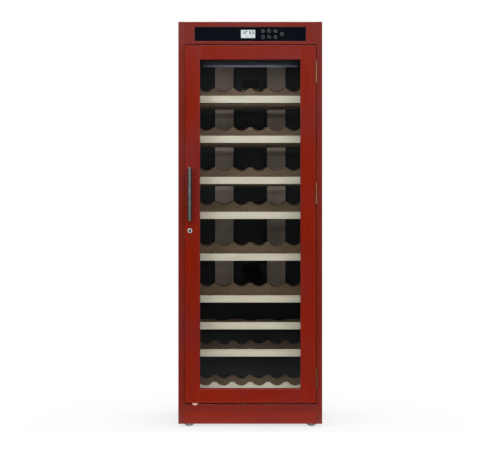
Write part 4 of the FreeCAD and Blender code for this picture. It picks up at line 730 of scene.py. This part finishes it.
def rays(centre, count, near, far):
    """Strokes that leave a centre evenly in all directions."""
    spokes = []
    for number in range(count):
        angle = 2 * math.pi * number / count + math.pi / 2
        ray = (math.cos(angle), math.sin(angle))
        spokes.append(stroke(*[(centre[0] + ray[0] * r, centre[1] + ray[1] * r) for r in (near, far)]))
    return spokes


def chevron(centre, up):
    """An arrow head of two mitred strokes."""
    x, z = centre
    left, right = x - ARROW_HALF, x + ARROW_HALF
    tip, foot, thick = ARROW_TIP * up, ARROW_FOOT * up, ARROW_THICK * up
    return [
        [(left, z + foot), (x, z + tip), (x, z + tip - thick), (left, z + foot - thick)],
        [(x, z + tip), (right, z + foot), (right, z + foot - thick), (x, z + tip - thick)],
    ]


# %% The signs of the seven keys
SIGN_REACH = 5.2
FLAKE_HEART = 1.1
HANDS_DROP = 0.6
MINUTE_HAND = 4.6
HOUR_HAND = 4.2
BULB_RADIUS = 3.4
BULB_RISE = 1.0
BULB_BASE_DROP = 3.0
BULB_BASE_HALF = 2.0
SUN_RADIUS = 1.3
SUN_RAYS_FROM = 2.8
POWER_RADIUS = 4.0
POWER_BAR_FROM = 1.2


def key_sign(kind, centre):
    """The faces of one sign."""
    x, z = centre
    if kind == "up":
        return chevron(centre, 1)
    if kind == "down":
        return chevron(centre, -1)
    if kind == "cold":
        return rays(centre, 6, FLAKE_HEART, SIGN_REACH)
    if kind == "time":
        low = z - HANDS_DROP
        return [stroke((x, low), (x, z + MINUTE_HAND)), stroke((x + HANDS_DROP, low), (x + HOUR_HAND, low))]
    if kind == "lamp":
        low = z - BULB_BASE_DROP
        base = stroke((x - BULB_BASE_HALF, low), (x + BULB_BASE_HALF, low))
        return arc((x, z + BULB_RISE), BULB_RADIUS, -45, 225) + [base]
    if kind == "light":
        return rays(centre, 8, SUN_RAYS_FROM, SIGN_REACH) + arc(centre, SUN_RADIUS, 0, 360)
    power_bar = stroke((x, z + POWER_BAR_FROM), (x, z + SIGN_REACH))
    return arc(centre, POWER_RADIUS, 125, 415) + [power_bar]


# %% Print the keys on the glass, placed from the middle of the panel
KEY_RADIUS = 7.8
KEY_COLUMNS = (57.5, 86.0, 114.5)
KEY_ROWS = (13.25, -14.05)
KEY_GRID = (("up", "lamp", "cold"), ("time", "down", "light"))
POWER_KEY = (144.4, -0.45)

panel_low, panel_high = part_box("control_glass")
panel_middle = (panel_low[2] + panel_high[2]) / 2 / MM
keys = []
for rise, kinds in zip(KEY_ROWS, KEY_GRID):
    keys += [(kind, (x, panel_middle + rise)) for x, kind in zip(KEY_COLUMNS, kinds)]
keys.append(("power", (POWER_KEY[0], panel_middle + POWER_KEY[1])))
key_faces = []
for kind, centre in keys:
    key_faces += arc(centre, KEY_RADIUS, 0, 360)
    key_faces += key_sign(kind, centre)
touch_marks = printed_layer("touch_marks", key_faces, panel_low[1])
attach(touch_marks, "cabinet")

# %% [markdown]
# ## Figures on the screen
# The screen shows two numbers, a temperature and a humidity, in seven-bar figures, and two small
# bars below them. Each bar of a figure is a slim six-sided shape, and a number is just a choice of
# bars, so one function draws any of them. Liquid crystal is dark where it is switched on.

# %% Seven-bar figures
FIGURE_WIDTH = 11.0
FIGURE_HEIGHT = 15.5
BAR = 3.0
BAR_GAP = 0.25
BARS_OF = {"1": "bc", "2": "abged", "5": "afgcd", "6": "afgedc"}


def bar(start, end):
    """One slim six-sided bar of a figure."""
    run = (end[0] - start[0], end[1] - start[1])
    length = math.hypot(*run)
    step = (run[0] / length * BAR / 2, run[1] / length * BAR / 2)
    side = (-step[1], step[0])
    near = (start[0] + step[0], start[1] + step[1])
    far = (end[0] - step[0], end[1] - step[1])
    return [
        start, (near[0] - side[0], near[1] - side[1]), (far[0] - side[0], far[1] - side[1]),
        end, (far[0] + side[0], far[1] + side[1]), (near[0] + side[0], near[1] + side[1]),
    ]


def figure(digit, x, z):
    """The bars of a digit whose lower left corner is at x, z."""
    left, right = x + BAR / 2, x + FIGURE_WIDTH - BAR / 2
    low, middle, high = z + BAR / 2, z + FIGURE_HEIGHT / 2, z + FIGURE_HEIGHT - BAR / 2
    ends = {
        "a": ((left, high), (right, high)), "b": ((right, middle), (right, high)),
        "c": ((right, low), (right, middle)), "d": ((left, low), (right, low)),
        "e": ((left, low), (left, middle)), "f": ((left, middle), (left, high)),
        "g": ((left, middle), (right, middle)),
    }
    faces = []
    for key in BARS_OF[digit]:
        (x0, z0), (x1, z1) = ends[key]
        length = math.hypot(x1 - x0, z1 - z0)
        pull = ((x1 - x0) / length * BAR_GAP, (z1 - z0) / length * BAR_GAP)
        faces.append(bar((x0 + pull[0], z0 + pull[1]), (x1 - pull[0], z1 - pull[1])))
    return faces


# %% Draw the screen's figures
TOP_MARGIN = 4.0
DIGITS = (("1", 2.0), ("2", 14.5), ("6", 37.5), ("5", 50.5))
DEGREE_X = 29.5
DEGREE_DROP = 2.5
DEGREE_RADIUS = 1.8
DEGREE_LINE = 1.3
DASHES_X = (22.0, 46.0)
DASH_RISE = 8.0
DASH_LENGTH = 8.0
DASH_LINE = 2.2

screen_low, screen_high = (tuple(v / MM for v in corner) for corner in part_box("display_screen"))
figures_z = screen_high[2] - TOP_MARGIN - FIGURE_HEIGHT
figure_faces = []
for digit, offset in DIGITS:
    figure_faces += figure(digit, screen_low[0] + offset, figures_z)
degree_mark = (screen_low[0] + DEGREE_X, figures_z + FIGURE_HEIGHT - DEGREE_DROP)
figure_faces += arc(degree_mark, DEGREE_RADIUS, 0, 360, DEGREE_LINE)
dash_z = screen_low[2] + DASH_RISE
for offset in DASHES_X:
    dash_x = screen_low[0] + offset
    figure_faces.append(stroke((dash_x, dash_z), (dash_x + DASH_LENGTH, dash_z), DASH_LINE))
screen_figures = printed_layer("screen_figures", figure_faces, screen_low[1] * MM)
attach(screen_figures, "cabinet")


# %% Ink for the marks and the figures
WEAVE = 1.5


def screen_print(name, colour, faded, rough):
    """Screen-printed ink: dense, slightly matt, thinner where the mesh of the screen held it back."""
    material, tree = new_finish(name)
    place = add(tree, "ShaderNodeTexCoord").outputs["Object"]
    weave = add(tree, "ShaderNodeTexNoise", {
        "Vector": place, "Scale": scale_for(WEAVE), "Detail": 2.0}).outputs[0]
    thin = add(tree, "ShaderNodeMapRange", {0: weave, 1: 0.4, 2: 0.65, 3: 0.0, 4: 0.6}).outputs[0]
    tone = add(tree, "ShaderNodeMix", {
        0: thin, 6: linear(colour), 7: linear(faded)}, data_type="RGBA").outputs[2]
    gloss = add(tree, "ShaderNodeMapRange", {
        0: weave, 1: 0.3, 2: 0.7, 3: rough - 0.08, 4: rough + 0.08}).outputs[0]
    shader = add(tree, "ShaderNodeBsdfPrincipled", {
        "Base Color": tone, "Roughness": gloss, "IOR": 1.5}).outputs[0]
    add(tree, "ShaderNodeOutputMaterial", {"Surface": shader})
    return material


touch_marks.data.materials.append(screen_print("screen_printed_grey_ink", "#6C7075", "#575B60", 0.45))
screen_figures.data.materials.append(screen_print("switched_liquid_crystal", "#12161B", "#20262C", 0.4))
print("inks on", touch_marks.name, "and", screen_figures.name)

# %% [markdown]
# ## Floor and light
# A studio picture of furniture is made on a pale floor under large soft lamps. Four do it here: a
# key from the left, a fill from the right, one high over the camera that reaches the boards behind
# the door without side shadows, and one overhead, plus one behind for the rear. The side lamps are
# wider than the cabinet is tall, so that glossy lacquer mirrors them as a soft sheen, and all of
# them stand where the flat door doesn't mirror them towards the camera. A last, small lamp sits
# under the opal strip in the cabinet's ceiling. The floor is a wide disc: near the cabinet it is
# real floor that takes the shadow, and further out it turns to plain white for the camera's rays,
# so no horizon shows. What lies behind the camera is kept dark, both floor and room, as a
# photographer does with black cloth: otherwise the glass and the red lacquer would mirror it as a
# pale haze. Mirrored rays that go on behind the cabinet see the same white as the camera does.

# %% Which rays see plain white
def white_share(tree, behind):
    """Share of white that a ray sees: all for the camera's own, behind for mirrored and passing ones."""
    paths = add(tree, "ShaderNodeLightPath").outputs
    bounced = add(tree, "ShaderNodeMath", {
        0: paths["Is Glossy Ray"], 1: paths["Is Transmission Ray"]}, operation="ADD").outputs[0]
    mirrored_part = add(tree, "ShaderNodeMath", {0: bounced, 1: behind}, operation="MULTIPLY").outputs[0]
    return add(tree, "ShaderNodeMath", {
        0: mirrored_part, 1: paths["Is Camera Ray"]}, operation="ADD", use_clamp=True).outputs[0]


# %% The floor
FLOOR_RADIUS = 60.0
FLOOR_SIDES = 96
SHADOW_REACH = (0.4, 1.3)
SHADOW_WHITENESS = 0.72
WHITE_IN_FRONT = (-0.34, -0.5)
FLOOR_BEHIND = (-0.2, 0.2)
CLOTH_FADE = (-1.1, -0.4)
CLOTH_TONE = 0.08
FLOOR_TONE = 0.78

floor_shape = bmesh.new()
bmesh.ops.create_circle(floor_shape, cap_ends=True, radius=FLOOR_RADIUS, segments=FLOOR_SIDES)
floor_mesh = bpy.data.meshes.new("studio_floor")
floor_shape.to_mesh(floor_mesh)
floor_shape.free()
floor = bpy.data.objects.new("studio_floor", floor_mesh)
scene.collection.objects.link(floor)

floor_paint, floor_tree = new_finish("studio_floor_paint")
floor_place = add(floor_tree, "ShaderNodeTexCoord").outputs["Object"]
reach = add(floor_tree, "ShaderNodeVectorMath", {0: floor_place}, operation="LENGTH").outputs["Value"]
whiteness = add(floor_tree, "ShaderNodeMapRange", {
    0: reach, 1: SHADOW_REACH[0], 2: SHADOW_REACH[1], 3: SHADOW_WHITENESS, 4: 1.0}).outputs[0]
floor_y = add(floor_tree, "ShaderNodeSeparateXYZ", {0: floor_place}).outputs["Y"]
in_front = add(floor_tree, "ShaderNodeMapRange", {
    0: floor_y, 1: WHITE_IN_FRONT[0], 2: WHITE_IN_FRONT[1]}).outputs[0]
floor_share = add(floor_tree, "ShaderNodeMath", {
    0: whiteness, 1: in_front}, operation="MAXIMUM").outputs[0]
floor_behind = add(floor_tree, "ShaderNodeMapRange", {
    0: floor_y, 1: FLOOR_BEHIND[0], 2: FLOOR_BEHIND[1]}).outputs[0]
floor_white = add(floor_tree, "ShaderNodeMath", {
    0: floor_share, 1: white_share(floor_tree, floor_behind)}, operation="MULTIPLY").outputs[0]
floor_tone = add(floor_tree, "ShaderNodeMapRange", {
    0: floor_y, 1: CLOTH_FADE[0], 2: CLOTH_FADE[1], 3: CLOTH_TONE, 4: FLOOR_TONE}).outputs[0]
floor_matt = add(floor_tree, "ShaderNodeBsdfDiffuse", {"Color": floor_tone}).outputs[0]
floor_glow = add(floor_tree, "ShaderNodeEmission", {
    "Color": linear("#FFFFFF"), "Strength": 1.0}).outputs[0]
floor_skin = add(floor_tree, "ShaderNodeMixShader", {
    0: floor_white, 1: floor_matt, 2: floor_glow}).outputs[0]
add(floor_tree, "ShaderNodeOutputMaterial", {"Surface": floor_skin})
floor_mesh.materials.append(floor_paint)
print("floor radius:", FLOOR_RADIUS, "m")

# %% The room around
ROOM_LIGHT = 0.3
ROOM_FRONT = 0.05
WALL_BEHIND = (-0.1, 0.2)
FRONT_FADE = (-0.95, -0.3)

room = bpy.data.worlds.new("studio_room")
scene.world = room
room.use_nodes = True
room_tree = room.node_tree
room_tree.nodes.clear()
heading = add(room_tree, "ShaderNodeTexCoord").outputs["Generated"]
heading_y = add(room_tree, "ShaderNodeSeparateXYZ", {0: heading}).outputs["Y"]
wall_behind = add(room_tree, "ShaderNodeMapRange", {
    0: heading_y, 1: WALL_BEHIND[0], 2: WALL_BEHIND[1]}).outputs[0]
room_shown = white_share(room_tree, wall_behind)
shade = add(room_tree, "ShaderNodeMapRange", {
    0: heading_y, 1: FRONT_FADE[0], 2: FRONT_FADE[1], 3: ROOM_FRONT, 4: ROOM_LIGHT}).outputs[0]
room_dim = add(room_tree, "ShaderNodeBackground", {
    "Color": linear("#F4F4F6"), "Strength": shade}).outputs[0]
room_white = add(room_tree, "ShaderNodeBackground", {
    "Color": linear("#FFFFFF"), "Strength": 1.0}).outputs[0]
room_mix = add(room_tree, "ShaderNodeMixShader", {0: room_shown, 1: room_dim, 2: room_white}).outputs[0]
add(room_tree, "ShaderNodeOutputWorld", {"Surface": room_mix})
print("room light:", ROOM_LIGHT, "and", ROOM_FRONT, "behind the camera")

# %% The lamps
MIDDLE = (0.0, 0.0, 0.95)
STRIP_POWER = 0.45
STRIP_DROP = 1.0
STRIP_TILT = math.radians(30)


def soft_lamp(name, place, size, power):
    """A square soft lamp that faces the cabinet's middle."""
    data = bpy.data.lights.new(name, "AREA")
    data.shape = "SQUARE"
    data.size = size
    data.energy = power
    lamp = bpy.data.objects.new(name, data)
    lamp.location = place
    aim = [to - at for to, at in zip(MIDDLE, place)]
    lamp.rotation_euler = (
        math.atan2(math.hypot(aim[0], aim[1]), -aim[2]),
        0.0,
        math.atan2(aim[1], aim[0]) - math.pi / 2,
    )
    scene.collection.objects.link(lamp)


soft_lamp("key_lamp", (-3.2, -5.1, 2.6), 3.2, 140)
soft_lamp("fill_lamp", (3.2, -5.1, 2.1), 3.2, 118)
soft_lamp("front_lamp", (0.0, -6.3, 4.5), 1.8, 165)
soft_lamp("overhead_lamp", (0.0, 0.2, 4.4), 3.6, 130)
soft_lamp("rear_lamp", (0.8, 4.2, 2.4), 3.2, 120)
diffuser_low, diffuser_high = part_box("lamp_diffuser")
strip_data = bpy.data.lights.new("diode_strip", "AREA")
strip_data.shape = "RECTANGLE"
strip_data.size = diffuser_high[0] - diffuser_low[0]
strip_data.size_y = diffuser_high[1] - diffuser_low[1]
strip_data.energy = STRIP_POWER
strip = bpy.data.objects.new("diode_strip", strip_data)
strip.location = (0.0, (diffuser_low[1] + diffuser_high[1]) / 2, diffuser_low[2] - STRIP_DROP * MM)
strip.rotation_euler = (STRIP_TILT, 0.0, 0.0)
scene.collection.objects.link(strip)

# %% [markdown]
# ## Camera
# The cabinet is seen straight from the front, from about 7 m away and half way up, which keeps its
# edges parallel. The lens follows from that: at the front of the door the picture is 2.28 m wide,
# and a 36 mm sensor then needs about 111 mm.

# %% Place the camera
DISTANCE = 7.0
ASIDE = -0.0012
EYE_HEIGHT = 0.919
SENSOR = 36.0
PICTURE_WIDTH = 2.2755

view_data = bpy.data.cameras.new("front_camera")
view_data.sensor_width = SENSOR
view_data.lens = view_data.sensor_width * DISTANCE / PICTURE_WIDTH
camera = bpy.data.objects.new("front_camera", view_data)
camera.location = (ASIDE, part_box("door_stile_left")[0][1] - DISTANCE, EYE_HEIGHT)
camera.rotation_euler = (math.pi / 2, 0.0, 0.0)
scene.collection.objects.link(camera)
scene.camera = camera
scene.view_settings.view_transform = "Standard"
print("lens:", round(view_data.lens, 2), "mm")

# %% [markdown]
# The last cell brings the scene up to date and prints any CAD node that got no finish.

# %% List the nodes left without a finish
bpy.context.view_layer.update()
undressed = [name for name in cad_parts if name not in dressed]
print("nodes without a finish:", undressed)
